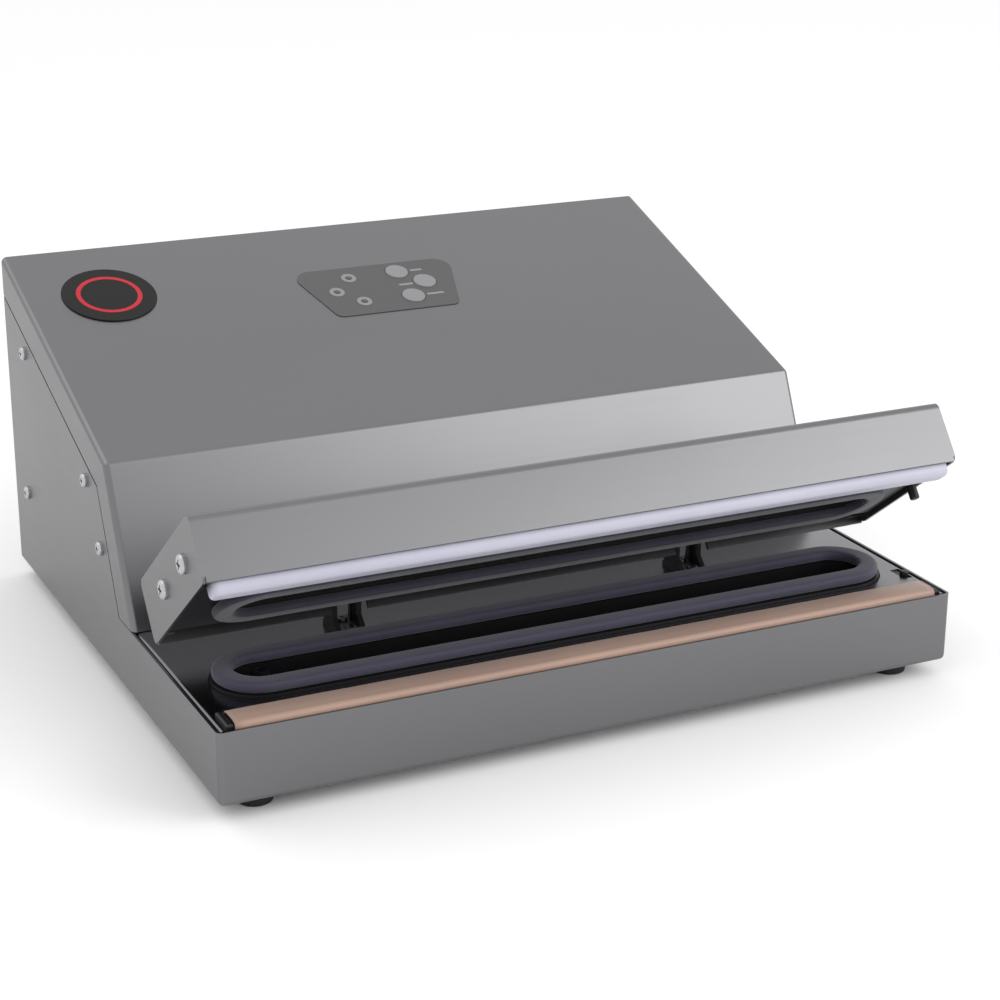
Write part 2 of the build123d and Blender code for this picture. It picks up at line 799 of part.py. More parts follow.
with BuildPart() as lid_tray:
    block((-tray_half, tray_half), tray_sides, (seat_up, seat_up + tray_sheet), lid)
    stadium(seat_up, seat_outer_length, seat_outer_width, boss_up - seat_up, lid, upper_y)
    for x in ((-tray_half, -end_block[0]), (end_block[0], tray_half)):
        block(x, end_block[1:3], (seat_up, end_block[3]), lid)
    height = pocket_up - seat_up
    stadium(seat_up, pocket_length, pocket_width, height, lid, upper_y, Mode.SUBTRACT)
    with BuildSketch(lid.offset(seat_up)):
        ring(groove_reach, upper_y)
    extrude(amount=tongue_depth, mode=Mode.SUBTRACT)
    for x in (-1, 1):
        for u in screw_rows:
            rod(
                (x * (tray_half - end_screw_length), u, screw_up),
                (x * (tray_half + 1), u, screw_up),
                end_screw_radius,
                lid,
                Mode.SUBTRACT,
            )
    rod((peg_x, peg_u, 0), (peg_x, peg_u, boss_up), peg_stem, lid, Mode.SUBTRACT)
    for x in hinge_x:
        middle = x + sum(leaf_side) / 2
        for u in leaf_screw_us:
            rod((middle, u, pocket_up), (middle, u, lid_rise), leaf_screw_radius, lid, Mode.SUBTRACT)
    for x in (-tray_screw_x, tray_screw_x):
        hole = tray_screw_radius + slip
        rod((x, upper_y, seat_up), (x, upper_y, lid_rise), hole, lid, Mode.SUBTRACT)
write(lid_tray, "lid_tray")

# ---- upper_gasket -------------------------------------------------------------------------------
with BuildPart() as upper_gasket:
    low = -upper_gasket_drop
    stadium(low, seat_outer_length, seat_outer_width, seat_up - low, lid, upper_y)
    chamfer(upper_gasket.faces().sort_by(lid_axis)[0].edges(), gasket_bevel / 2)
    stadium(
        low - 1, pocket_length, pocket_width, seat_up - low + 2, lid, upper_y, Mode.SUBTRACT
    )
    with BuildSketch(lid.offset(seat_up)):
        ring(tongue_reach, upper_y)
    extrude(amount=tongue_depth - tongue_fit)
write(upper_gasket, "upper_gasket")

# ---- seal_pad and pad_holder --------------------------------------------------------------------
pad_front = lid_sheet + slip
pad_back = 14.0
pad_up = 3.0
stem_sides = (5.0, 10.8)
stem_up = 8.0
pad_round = 3.6
rail_up = 12.0

with BuildPart() as seal_pad:
    block((-pad_half_length, pad_half_length), (pad_front, pad_back), (-pad_drop, pad_up), lid)
    fillet(seal_pad.faces().sort_by(lid_axis)[0].edges(), pad_round)
    block((-pad_half_length, pad_half_length), stem_sides, (pad_up, stem_up), lid)
write(seal_pad, "seal_pad")

with BuildPart() as pad_holder:
    block(
        (-pad_half_length, pad_half_length), (pad_front, pad_back), (pad_up + slip, rail_up), lid
    )
    block(
        (-half, half),
        (stem_sides[0] - slip, stem_sides[1] + slip),
        (0, stem_up + slip),
        lid,
        Mode.SUBTRACT,
    )
write(pad_holder, "pad_holder")

# ---- lid_peg: works the switch in the deck when the lid shuts -----------------------------------
with BuildPart() as lid_peg:
    rod((peg_x, peg_u, -peg_drop), (peg_x, peg_u, seat_up), peg_radius, lid)
    fillet(lid_peg.faces().sort_by(lid_axis)[0].edges(), 1.0)
    rod((peg_x, peg_u, seat_up), (peg_x, peg_u, boss_up - 2), peg_stem, lid)
write(lid_peg, "lid_peg")

# ---- lid_hinge_leaves ---------------------------------------------------------------------------
with BuildPart() as lid_hinge_leaves:
    for x in hinge_x:
        ends = (x + leaf_side[0], x + leaf_side[1])
        block(ends, (leaf_front, hinge_back), (leaf_low, leaf_low + leaf_high), lid)
        rod((ends[0], hinge_back, hinge_up), (ends[1], hinge_back, hinge_up), barrel_radius, lid)
        rod(
            (ends[0] - 1, hinge_back, hinge_up),
            (ends[1] + 1, hinge_back, hinge_up),
            pin_radius + pin_fit,
            lid,
            Mode.SUBTRACT,
        )
        for u in leaf_screw_us:
            middle = sum(ends) / 2
            hole = leaf_screw_radius + tongue_fit
            rod((middle, u, leaf_low - 1), (middle, u, lid_rise), hole, lid, Mode.SUBTRACT)
write(lid_hinge_leaves, "lid_hinge_leaves")

# ---- lid_screws: in the end plates, in the hinge leaves and in the ceiling of the tray's pocket ----
end_screw = pan_screw(2 * end_screw_radius, end_screw_length, 4.7, 2.5)
leaf_screw = pan_screw(2 * leaf_screw_radius, 4.6, 2.1, 1.6)
tray_screw = pan_screw(
    2 * tray_screw_radius, lid_rise - lid_sheet - slip - pocket_up, 3.4, 2.4
)
with BuildPart() as lid_screws:
    for x in (-1, 1):
        for u in screw_rows:
            seat = lid.from_local_coords(Vector(x * lid_half, u, screw_up))
            with Locations(Plane(origin=seat, z_dir=(x, 0, 0)).location):
                add(end_screw)
    for x in hinge_x:
        for u in leaf_screw_us:
            middle = x + sum(leaf_side) / 2
            seat = lid.from_local_coords(Vector(middle, u, leaf_low + leaf_high))
            with Locations(Plane(origin=seat, z_dir=lid.z_dir).location):
                add(leaf_screw)
    for x in (-tray_screw_x, tray_screw_x):
        seat = lid.from_local_coords(Vector(x, upper_y, pocket_up))
        with Locations(Plane(origin=seat, z_dir=-lid.z_dir).location):
            add(tray_screw)
write(lid_screws, "lid_screws")

# ---- hinge_springs: torsion springs that lift the lid -------------------------------------------
spring_wire = 0.6
spring_radius = 4.0
spring_turns = 2.5
spring_length = 3.2
spring_start = 1.0  # from a bracket's middle


def torsion_spring(x):
    """A coil round the pin, one leg down to the bracket and one up under the lid."""
    with BuildPart() as spring:
        centre = (x, front + hinge_y, hinge_height)
        with BuildLine() as coil:
            Helix(
                spring_length / spring_turns, spring_length, spring_radius, centre, (1, 0, 0)
            )
        with BuildSketch(Plane(origin=coil.line @ 0, z_dir=coil.line % 0)):
            Circle(spring_wire)
        sweep()
        for where in (0, 1):
            with Locations(coil.line @ where):
                Sphere(spring_wire)
        leg = plan.to_local_coords(coil.line @ 1)
        rod(tuple(leg), (leg.X, leg.Y, deck_height + bracket_plate), spring_wire)
        hook = lid.to_local_coords(coil.line @ 0)
        rod(tuple(hook), (hook.X, hook.Y, lid_rise - lid_sheet - slip), spring_wire, lid)
    return spring.part


with BuildPart() as hinge_springs:
    for x in hinge_x:
        add(torsion_spring(x + spring_start))
write(hinge_springs, "hinge_springs")

# ---- keypad_panel and badge, on the top ---------------------------------------------------------
panel_high_round, panel_low_round = 9.0, 5.0
lamp_fit = 0.05
with BuildPart() as keypad_panel:
    with BuildSketch(top) as panel_outline:
        with BuildLine():
            Polyline(
                (panel_x - panel_low_half, panel_low),
                (panel_x + panel_low_half, panel_low),
                (panel_x + panel_high_half, panel_high),
                (panel_x - panel_high_half, panel_high),
                close=True,
            )
        make_face()
        corners = panel_outline.vertices().sort_by(Axis.Y)
        fillet(corners[2:], panel_high_round)
        fillet(panel_outline.vertices().sort_by(Axis.Y)[:2], panel_low_round)
        with Locations(*button_places.values()):
            Circle(button_hole, mode=Mode.SUBTRACT)
        with Locations(*lamp_places):
            Circle(lamp_radius + lamp_fit, mode=Mode.SUBTRACT)
    extrude(amount=panel_sheet)
write(keypad_panel, "keypad_panel")

with BuildPart() as badge:
    with Locations(top.location * Location((*badge_place, 0))):
        Cylinder(badge_radius, badge_sheet, align=STANDING)
    chamfer(badge.faces().sort_by(Axis(top.origin, top.z_dir))[-1].edges(), badge_sheet / 3)
write(badge, "badge")

# ---- buttons: cap, stem and the collar that keeps it under the cover ----------------------------
button_round = 0.5
collar_radius, collar_sheet_up = 7.6, 1.1
collar_down = -2.6
stem_radius = 1.8
stem_down = -4.1
for name, place in button_places.items():
    with BuildPart() as button:
        with Locations(top.location * Location((*place, button_rise))):
            Cylinder(button_radius, button_rise - collar_down, align=HANGING)
        fillet(button.faces().sort_by(Axis(top.origin, top.z_dir))[-1].edges(), button_round)
        with Locations(top.location * Location((*place, collar_down))):
            Cylinder(collar_radius, collar_sheet_up, align=STANDING)
            Cylinder(stem_radius, collar_down - stem_down, align=HANGING)
    write(button, f"button_{name}")

# ---- indicator_lenses ---------------------------------------------------------------------------
lens_rise = 0.6
lens_dish = 0.4
with BuildPart() as indicator_lenses:
    for place in lamp_places:
        with Locations(top.location * Location((*place, 0))):
            Cylinder(lamp_radius, lens_rise, align=STANDING)
            Cylinder(lamp_stem, board_depth - slip, align=HANGING)
        with Locations(top.location * Location((*place, lens_rise))):
            Cylinder(lamp_stem, lens_dish, align=HANGING, mode=Mode.SUBTRACT)
write(indicator_lenses, "indicator_lenses")

# ---- keypad_board with its key switches ---------------------------------------------------------
board_half = (44.0, 25.0)
board_sheet = 1.6
board_middle = (0.0, -69.7)
tact_half, tact_high, tact_nub = 3.0, 3.4, 3.9
post_reach = (39.0, 20.0)
post_radius = 2.5
with BuildPart() as keypad_board:
    block(
        (-board_half[0], board_half[0]),
        (board_middle[1] - board_half[1], board_middle[1] + board_half[1]),
        (-board_depth - board_sheet, -board_depth),
        top,
    )
    for x, y in button_places.values():
        base = -board_depth
        block(
            (x - tact_half, x + tact_half),
            (y - tact_half, y + tact_half),
            (base, base + tact_high),
            top,
        )
        rod((x, y, base), (x, y, base + tact_nub), stem_radius, top)
write(keypad_board, "keypad_board")

# ---- switch_guide, switch_plunger and lid_switch, under the lid's peg ---------------------------
guide_bore = 2.3
plunger_radius = 2.2
guide_x = (slot_place[0] - switch_slot[0] / 2, slot_place[0] + switch_slot[0] / 2)
guide_y = (slot_place[1] - switch_slot[1] / 2, slot_place[1] + switch_slot[1] / 2)
guide_under = deck_under - 2.4
guide_top = deck_height - 0.8
guide_lap_x, guide_lap_y = 0.9, 2.0  # how far the guide runs on under the deck
plunger_low = guide_under - slip
plunger_foot, plunger_foot_reach = 1.0, 0.9
plunger_round = 0.8
closed_gap = 0.3  # left between peg and plunger when the lid is shut
plunger_top = shut_height - peg_drop - closed_gap + switch_travel
place = (peg_x, peg_y)
with BuildPart() as switch_guide:
    block(
        (guide_x[0] + slip, guide_x[1] - slip),
        (guide_y[0] + slip, guide_y[1] - slip),
        (guide_under, guide_top),
    )
    block(
        (guide_x[0] - guide_lap_x, guide_x[1] - slip),
        (guide_y[0] - guide_lap_y, guide_y[1] + guide_lap_y),
        (guide_under, deck_under - tongue_fit),
    )
    rod((*place, 0), (*place, 2 * deck_height), guide_bore, mode=Mode.SUBTRACT)
write(switch_guide, "switch_guide")

with BuildPart() as switch_plunger:
    rod((*place, plunger_low), (*place, plunger_top), plunger_radius)
    fillet(switch_plunger.faces().sort_by(Axis.Z)[-1].edges(), plunger_round)
    foot_radius_out = plunger_radius + plunger_foot_reach
    rod((*place, plunger_low - plunger_foot), (*place, plunger_low), foot_radius_out)
write(switch_plunger, "switch_plunger")

switch_nub, switch_nub_radius = 1.0, 1.2
switch_body_top = plunger_low - plunger_foot - switch_travel - switch_nub - slip
switch_body_high = 15.0
switch_body_left = 4.6
switch_body_front, switch_body_back = 9.0, 13.0
with BuildPart() as lid_switch:
    block(
        (peg_x - switch_body_left, deck_half - sheet - closed_gap),
        (peg_y - switch_body_front, peg_y + switch_body_back),
        (switch_body_top - switch_body_high, switch_body_top),
    )
    rod((*place, switch_body_top), (*place, switch_body_top + switch_nub), switch_nub_radius)
write(lid_switch, "lid_switch")

# ---- transformer: laminated core on feet, and its coil ------------------------------------------
tab_sheet = 3.0
tab_reach = 12.0
tab_screw_radius = 2.0
core_x, core_z = (80.0, 164.0), (floor_top + tab_sheet, floor_top + 73.0)
core_y = (cabinet_depth - 103.0, cabinet_depth - 51.0)
coil_x, coil_z = (97.0, 147.0), (floor_top + 17.0, floor_top + 59.0)
coil_y = (core_y[0] - 14.0, core_y[1] + 14.0)
coil_round = 5.0
coil_fit = 0.3
leg_half = 9.0
core_middle = sum(core_x) / 2
tab_xs = (core_x[0] + 8, core_x[1] - 8)
tab_ys = (core_y[0] - tab_reach / 2, core_y[1] + tab_reach / 2)
tabs = [(x, y) for x in tab_xs for y in tab_ys]
with BuildPart() as transformer_core:
    block(core_x, core_y, core_z)
    block(core_x, (core_y[0] - tab_reach, core_y[1] + tab_reach), (floor_top, core_z[0]))
    for x in ((coil_x[0], core_middle - leg_half), (core_middle + leg_half, coil_x[1])):
        block(x, (core_y[0] - 1, core_y[1] + 1), coil_z, mode=Mode.SUBTRACT)
    with BuildSketch(plan.offset(floor_top)):
        with Locations(*tabs):
            Circle(tab_screw_radius + slip)
    extrude(amount=tab_sheet, mode=Mode.SUBTRACT)
write(transformer_core, "transformer_core")

with BuildPart() as transformer_coil:
    block(
        (coil_x[0] + coil_fit, coil_x[1] - coil_fit),
        coil_y,
        (coil_z[0] + coil_fit, coil_z[1] - coil_fit),
    )
    fillet(transformer_coil.edges().filter_by(Axis.Z), coil_round)
    block(
        (core_middle - leg_half - coil_fit, core_middle + leg_half + coil_fit),
        (core_y[0] - coil_fit, core_y[1] + coil_fit),
        (coil_z[0] - 1, coil_z[1] + 1),
        mode=Mode.SUBTRACT,
    )
write(transformer_coil, "transformer_coil")

# ---- pump: motor, head, bracket, rubber mounts and fan ------------------------------------------
motor_y, motor_z, motor_radius = cabinet_depth - 105.0, 50.0, 27.0
motor_x = (-118.0, -46.0)
motor_round = 3.0
shaft_radius = 3.0
shaft_in, shaft_out = 11.0, 20.0  # into the motor and out of it
shaft_fit = 0.05
head_x, head_half, head_z = (-170.0, motor_x[0] - slip), 24.0, (24.0, 92.0)
head_round = 6.0
cylinder_radius, cylinder_high = 19.0, 14.0
head_port_z, head_port_length = 42.0, 14.0
mount_reach = 24.0
mount_ys = (motor_y - mount_reach, motor_y + mount_reach)
mount_places = [(x, y) for x in (-150.0, -60.0) for y in mount_ys]
mount_radius, mount_height = 7.0, 7.0
bracket_low = floor_top + mount_height
bracket_x, bracket_half, bracket_sheet = (-162.0, -48.0), 32.0, 2.5
head_rest_x, head_rest_half = (-160.0, -126.0), 20.0
saddle_xs, saddle_sheet, saddle_half, saddle_drop = (-106.0, -68.0), 6.0, 16.0, 14.0
with BuildPart() as pump_motor:
    rod((motor_x[0], motor_y, motor_z), (motor_x[1], motor_y, motor_z), motor_radius)
    fillet(pump_motor.edges().filter_by(GeomType.CIRCLE), motor_round)
    rod(
        (motor_x[1] - shaft_in - 1, motor_y, motor_z),
        (motor_x[1] + 1, motor_y, motor_z),
        shaft_radius + shaft_fit,
        mode=Mode.SUBTRACT,
    )
write(pump_motor, "pump_motor")

ridge = sum(head_x) / 2
head_port = (ridge, motor_y - head_half, head_port_z)
with BuildPart() as pump_head:
    block(head_x, (motor_y - head_half, motor_y + head_half), head_z)
    fillet(pump_head.edges().filter_by(Axis.X), head_round)
    rod((ridge, motor_y, head_z[1]), (ridge, motor_y, head_z[1] + cylinder_high), cylinder_radius)
    rod(head_port, (ridge, head_port[1] - head_port_length, head_port_z), barb_radius)
write(pump_head, "pump_head")

with BuildPart() as pump_bracket:
    block(
        bracket_x,
        (motor_y - bracket_half, motor_y + bracket_half),
        (bracket_low, bracket_low + bracket_sheet),
    )
    for x in saddle_xs:
        block(
            (x, x + saddle_sheet),
            (motor_y - saddle_half, motor_y + saddle_half),
            (bracket_low, motor_z - saddle_drop),
        )
    block(
        head_rest_x,
        (motor_y - head_rest_half, motor_y + head_rest_half),
        (bracket_low, head_z[0]),
    )
    rod(
        (motor_x[0] - 5, motor_y, motor_z),
        (motor_x[1] + 5, motor_y, motor_z),
        motor_radius + tongue_fit,
        mode=Mode.SUBTRACT,
    )
write(pump_bracket, "pump_bracket")

with BuildPart() as pump_mounts:
    for x, y in mount_places:
        rod((x, y, floor_top), (x, y, bracket_low), mount_radius)
write(pump_mounts, "pump_mounts")

fan_blades = 7
fan_blade = (18.0, 1.6, 10.0)
fan_reach, fan_twist = 15.0, 35.0
hub_x, hub_radius = (motor_x[1] + 6, motor_x[1] + 18), 8.0
with BuildPart() as motor_fan:
    rod(
        (motor_x[1] - shaft_in, motor_y, motor_z),
        (motor_x[1] + shaft_out, motor_y, motor_z),
        shaft_radius,
    )
    rod((hub_x[0], motor_y, motor_z), (hub_x[1], motor_y, motor_z), hub_radius)
    hub = Plane(origin=(sum(hub_x) / 2, front + motor_y, motor_z), x_dir=(0, 1, 0), z_dir=(1, 0, 0))
    with Locations(hub.location):
        with PolarLocations(fan_reach, fan_blades):
            Box(*fan_blade, rotation=(fan_twist, 0, 0))
write(motor_fan, "motor_fan")

# ---- vent_valve in the hose between trough and pump ---------------------------------------------
valve_half, valve_coil_half = 11.0, 9.0
valve_port = 8.0
valve_body_top, valve_coil_top = 24.0, 38.0
valve_round = 2.0
valve_middle = (barb_end + head_port[1] - head_port_length) / 2
valve_y = (valve_middle - valve_half, valve_middle + valve_half)
with BuildPart() as vent_valve:
    block((port_x - valve_half, port_x + valve_half), valve_y, (floor_top, valve_body_top))
    block(
        (port_x - valve_coil_half, port_x + valve_coil_half),
        (valve_middle - valve_coil_half, valve_middle + valve_coil_half),
        (valve_body_top, valve_coil_top),
    )
    fillet(vent_valve.edges().group_by(Axis.Z)[-1], valve_round)
    rod(
        (port_x, valve_y[0] - valve_port, barb_height),
        (port_x, valve_y[1] + valve_port, barb_height),
        barb_radius,
    )
write(vent_valve, "vent_valve")

hose_radius = 5.0
hose_bore = barb_radius + 0.05
hose_gap = 1.0  # from a hose's end to what its barb stands on
hose_start = trough_y + port_flange + hose_gap
hose_foot, hose_end = valve_y[1] + hose_gap, head_port[1] - hose_gap
hose_rise = (0.29, 0.64)  # shares of the way where it begins and ends its climb
hose_route = (
    (port_x, hose_foot, barb_height),
    (port_x, hose_foot + hose_rise[0] * (hose_end - hose_foot), barb_height),
    (ridge, hose_foot + hose_rise[1] * (hose_end - hose_foot), head_port_z),
    (ridge, hose_end, head_port_z),
)
with BuildPart() as vacuum_hoses:
    hose_stop = valve_y[0] - hose_gap
    rod((port_x, hose_start, barb_height), (port_x, hose_stop, barb_height), hose_radius)
    rod(
        (port_x, trough_y, barb_height),
        (port_x, valve_y[1], barb_height),
        hose_bore,
        mode=Mode.SUBTRACT,
    )
    add(tube(hose_route, hose_radius, hose_bore))
write(vacuum_hoses, "vacuum_hoses")

# ---- control_board on its standoffs -------------------------------------------------------------
control_x, control_y = (14.0, 132.0), (coil_y[0] - 72.0, coil_y[0] - 20.0)
control_low = floor_top + 10.0
standoff_inset = 5.0
standoff_radius = 3.0
with BuildPart() as control_board:
    block(control_x, control_y, (control_low, control_low + board_sheet))
write(control_board, "control_board")

board_top = control_low + board_sheet
relay_xs, relay = (40.0, 64.0), (19.0, 15.0, 16.0)
capacitor_xs, capacitor_radius, capacitor_high = (98.0, 112.0), 5.0, 18.0
terminal_strip_x, terminal_strip = 45.0, (35.0, 10.0, 9.0)
chip_x, chip = 100.0, (24.0, 14.0, 4.0)
back_row, front_row = control_y[0] + 36.0, control_y[0] + 13.0
with BuildPart() as board_parts:
    for x in relay_xs:
        with Locations((x + relay[0] / 2, front + back_row, board_top)):
            Box(*relay, align=STANDING)
    for x in capacitor_xs:
        rod(
            (x, back_row, board_top), (x, back_row, board_top + capacitor_high), capacitor_radius
        )
    for x, size in ((terminal_strip_x, terminal_strip), (chip_x, chip)):
        with Locations((x + size[0] / 2, front + front_row, board_top)):
            Box(*size, align=STANDING)
write(board_parts, "board_parts")

# ---- standoffs: under the trough and the control board, over the keypad board -------------------
post_flat = 5.0
with BuildPart() as standoffs:
    with BuildSketch(plan.offset(floor_top)):
        with Locations(*[(x, trough_y) for x in post_x]):
            RegularPolygon(post_flat, 6, major_radius=False)
            Circle(trough_screw_radius, mode=Mode.SUBTRACT)
    extrude(amount=trough_under - floor_top)
    for x in (control_x[0] + standoff_inset, control_x[1] - standoff_inset):
        for y in (control_y[0] + standoff_inset, control_y[1] - standoff_inset):
            rod((x, y, floor_top), (x, y, control_low), standoff_radius)
    for x in (-post_reach[0], post_reach[0]):
        for y in (board_middle[1] - post_reach[1], board_middle[1] + post_reach[1]):
            rod((x, y, -board_depth), (x, y, -sheet - lamp_fit), post_radius, top)
write(standoffs, "standoffs")

# ---- heater_leads: from the coil to the terminal posts ------------------------------------------
lead_radius = 1.6
lead_height = 14.2
lead_fit = 0.4
post_side = bar_middle + terminal_radius + lead_fit
lead_end = coil_y[0] - 1.3


def lead_y(share):
    """How far back a lead has come after a share of its way from the bar to the coil."""
    return post_side + share * (lead_end - post_side)


right_route = (
    (terminal_x, post_side, 17.0),
    (terminal_x, lead_y(0.13), lead_height + 1.5),
    (terminal_x - 4, lead_y(0.37), lead_height),
    (terminal_x - 14, lead_y(0.61), lead_height),
    (terminal_x - 30, lead_y(0.83), lead_height),
    (coil_x[1] - 12, lead_y(0.94), 21.0),
    (coil_x[1] - 14, lead_end, 34.0),
)
left_route = (
    (-terminal_x, post_side, 17.0),
    (-terminal_x + 8, 30.0, lead_height + 2.0),
    (-140.0, 33.0, lead_height),
    (-90.0, 31.0, lead_height),
    (-35.0, 33.0, lead_height),
    (10.0, lead_y(0.23), lead_height),
    (56.0, lead_y(0.445), lead_height),
    (90.0, lead_y(0.7), lead_height),
    (coil_x[0] + 12, lead_y(0.92), lead_height),
    (coil_x[0] + 14, lead_end, 34.0),
)
with BuildPart() as heater_leads:
    for route in (left_route, right_route):
        add(tube(route, lead_radius))
write(heater_leads, "heater_leads")

# ---- inlet_socket, inlet_pins and fuse_drawer ---------------------------------------------------
rim = 2.2
inlet_face, inlet_face_round = (25.0, 17.0), 4.0
inlet_body = (13.7, 26.0, 15.7)
socket_half, socket_depth = 12.0, 16.0
socket_low, socket_high = -13.0, 2.0
drawer_low, drawer_high = 5.5, 12.5
drawer_half, drawer_depth = 11.0, 20.0
drawer_fit = 0.15
rim_out = cabinet_depth + rim
past_rim = cabinet_depth + 2 * rim
inlet_hole_xs = (inlet_x - inlet_hole_pitch / 2, inlet_x + inlet_hole_pitch / 2)
with BuildPart() as inlet_socket:
    block(
        (inlet_x - inlet_face[0], inlet_x + inlet_face[0]),
        (cabinet_depth, rim_out),
        (inlet_z - inlet_face[1], inlet_z + inlet_face[1]),
    )
    fillet(inlet_socket.edges().filter_by(Axis.Y), inlet_face_round)
    block(
        (inlet_x - inlet_body[0], inlet_x + inlet_body[0]),
        (cabinet_depth - inlet_body[1], cabinet_depth),
        (inlet_z - inlet_body[2], inlet_z + inlet_body[2]),
    )
    block(
        (inlet_x - socket_half, inlet_x + socket_half),
        (rim_out - socket_depth, past_rim),
        (inlet_z + socket_low, inlet_z + socket_high),
        mode=Mode.SUBTRACT,
    )
    block(
        (inlet_x - drawer_half, inlet_x + drawer_half),
        (rim_out - drawer_depth, past_rim),
        (inlet_z + drawer_low, inlet_z + drawer_high),
        mode=Mode.SUBTRACT,
    )
    for x in inlet_hole_xs:
        rod(
            (x, cabinet_depth - 1, inlet_z),
            (x, past_rim, inlet_z),
            side_screw_radius + slip,
            mode=Mode.SUBTRACT,
        )
write(inlet_socket, "inlet_socket")

inlet_pin = (2.0, socket_depth - 2.0, 4.0)
inlet_tab = (0.8, 8.0, 4.0)
inlet_pin_places = ((-7.0, -8.0), (7.0, -8.0), (0.0, -3.5))
with BuildPart() as inlet_pins:
    for x, z in inlet_pin_places:
        with Locations((inlet_x + x, front + rim_out - socket_depth, inlet_z + z)):
            Box(*inlet_pin, align=(Align.CENTER, Align.MIN, Align.CENTER))
        with Locations((inlet_x + x, front + cabinet_depth - inlet_body[1], inlet_z + z)):
            Box(*inlet_tab, align=(Align.CENTER, Align.MAX, Align.CENTER))
write(inlet_pins, "inlet_pins")

grip_half, grip_deep, grip_high = 3.0, 0.8, 3.0  # finger notch in the drawer's upper edge
with BuildPart() as fuse_drawer:
    block(
        (inlet_x - drawer_half + drawer_fit, inlet_x + drawer_half - drawer_fit),
        (rim_out - drawer_depth + drawer_fit, rim_out),
        (inlet_z + drawer_low + drawer_fit, inlet_z + drawer_high - drawer_fit),
    )
    block(
        (inlet_x - grip_half, inlet_x + grip_half),
        (rim_out - grip_deep, past_rim),
        (inlet_z + drawer_high - 2, inlet_z + drawer_high - 2 + grip_high),
        mode=Mode.SUBTRACT,
    )
write(fuse_drawer, "fuse_drawer")

# ---- switch_frame and switch_rocker -------------------------------------------------------------
rocker_half_x, rocker_half_z = 11.8, 8.3
rocker_edge, rocker_waist, rocker_back, rocker_belly = 3.4, 2.2, -1.0, -4.5  # out of its pivot
opening_half, opening_depth = (12.0, 8.8), 12.0
frame_half, frame_round = (15.5, 12.5), 2.0
switch_depth = 22.0
pivot_y = cabinet_depth - 3.0
rocker_tilt = radians(7.0)  # each way from upright
stub_radius, stub_reach, stub_fit = 1.2, 12.9, 0.1
with BuildPart() as switch_frame:
    block(
        (switch_x - frame_half[0], switch_x + frame_half[0]),
        (cabinet_depth, rim_out - slip),
        (switch_z - frame_half[1], switch_z + frame_half[1]),
    )
    fillet(switch_frame.edges().filter_by(Axis.Y), frame_round)
    block(
        (switch_x - switch_cut[0] / 2 + slip, switch_x + switch_cut[0] / 2 - slip),
        (cabinet_depth - switch_depth, cabinet_depth),
        (switch_z - switch_cut[1] / 2 + slip, switch_z + switch_cut[1] / 2 - slip),
    )
    block(
        (switch_x - opening_half[0], switch_x + opening_half[0]),
        (cabinet_depth - opening_depth, past_rim),
        (switch_z - opening_half[1], switch_z + opening_half[1]),
        mode=Mode.SUBTRACT,
    )
    rod(
        (switch_x - stub_reach - slip, pivot_y, switch_z),
        (switch_x + stub_reach + slip, pivot_y, switch_z),
        stub_radius + stub_fit,
        mode=Mode.SUBTRACT,
    )
write(switch_frame, "switch_frame")

with BuildPart() as switch_rocker:
    outward = (0, cos(rocker_tilt), -sin(rocker_tilt))
    pivot = Plane(
        origin=(switch_x, front + pivot_y, switch_z), x_dir=outward, z_dir=(1, 0, 0)
    )
    with BuildSketch(pivot):
        with BuildLine():
            Polyline(
                (rocker_back, -rocker_half_z),
                (rocker_edge, -rocker_half_z),
                (rocker_waist, 0),
                (rocker_edge, rocker_half_z),
                (rocker_back, rocker_half_z),
                (rocker_belly, 0),
                close=True,
            )
        make_face()
    extrude(amount=rocker_half_x, both=True)
    rod(
        (switch_x - stub_reach, pivot_y, switch_z),
        (switch_x + stub_reach, pivot_y, switch_z),
        stub_radius,
    )
write(switch_rocker, "switch_rocker")

# ---- inner_screws: brackets, trough, transformer and inlet --------------------------------------
bracket_screw = pan_screw(2 * bracket_screw_radius, 8.0, 2.8, 1.8)
trough_screw = pan_screw(2 * trough_screw_radius, 12.0, 4.0, 2.6)
tab_screw = pan_screw(2 * tab_screw_radius, tab_sheet, 3.6, 2.2)
inlet_screw = pan_screw(2 * side_screw_radius, 6.0, 3.2, 0.2)
with BuildPart() as inner_screws:
    for x in hinge_x:
        for y in bracket_screw_ys:
            with Locations((x, front + y, deck_height + bracket_plate)):
                add(bracket_screw)
    for x in post_x:
        with Locations((x, front + trough_y, trough_floor_height)):
            add(trough_screw)
    for x, y in tabs:
        with Locations((x, front + y, core_z[0])):
            add(tab_screw)
    for x in inlet_hole_xs:
        seat = (x, front + rim_out, inlet_z)
        with Locations(Plane(origin=seat, z_dir=(0, 1, 0)).location):
            add(inlet_screw)
write(inner_screws, "inner_screws")
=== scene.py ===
"""A table-top vacuum sealer with its lid open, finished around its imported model.

It is laid out as an add-on and run as a script: one operator for each piece or group of like
pieces, one for the stage, and a panel that lists them. Lengths are in metres.
"""

import json
from math import cos, pi, radians, sin

import bmesh
import bpy
from bpy.props import FloatProperty, FloatVectorProperty, PointerProperty
from mathutils import Matrix, Vector


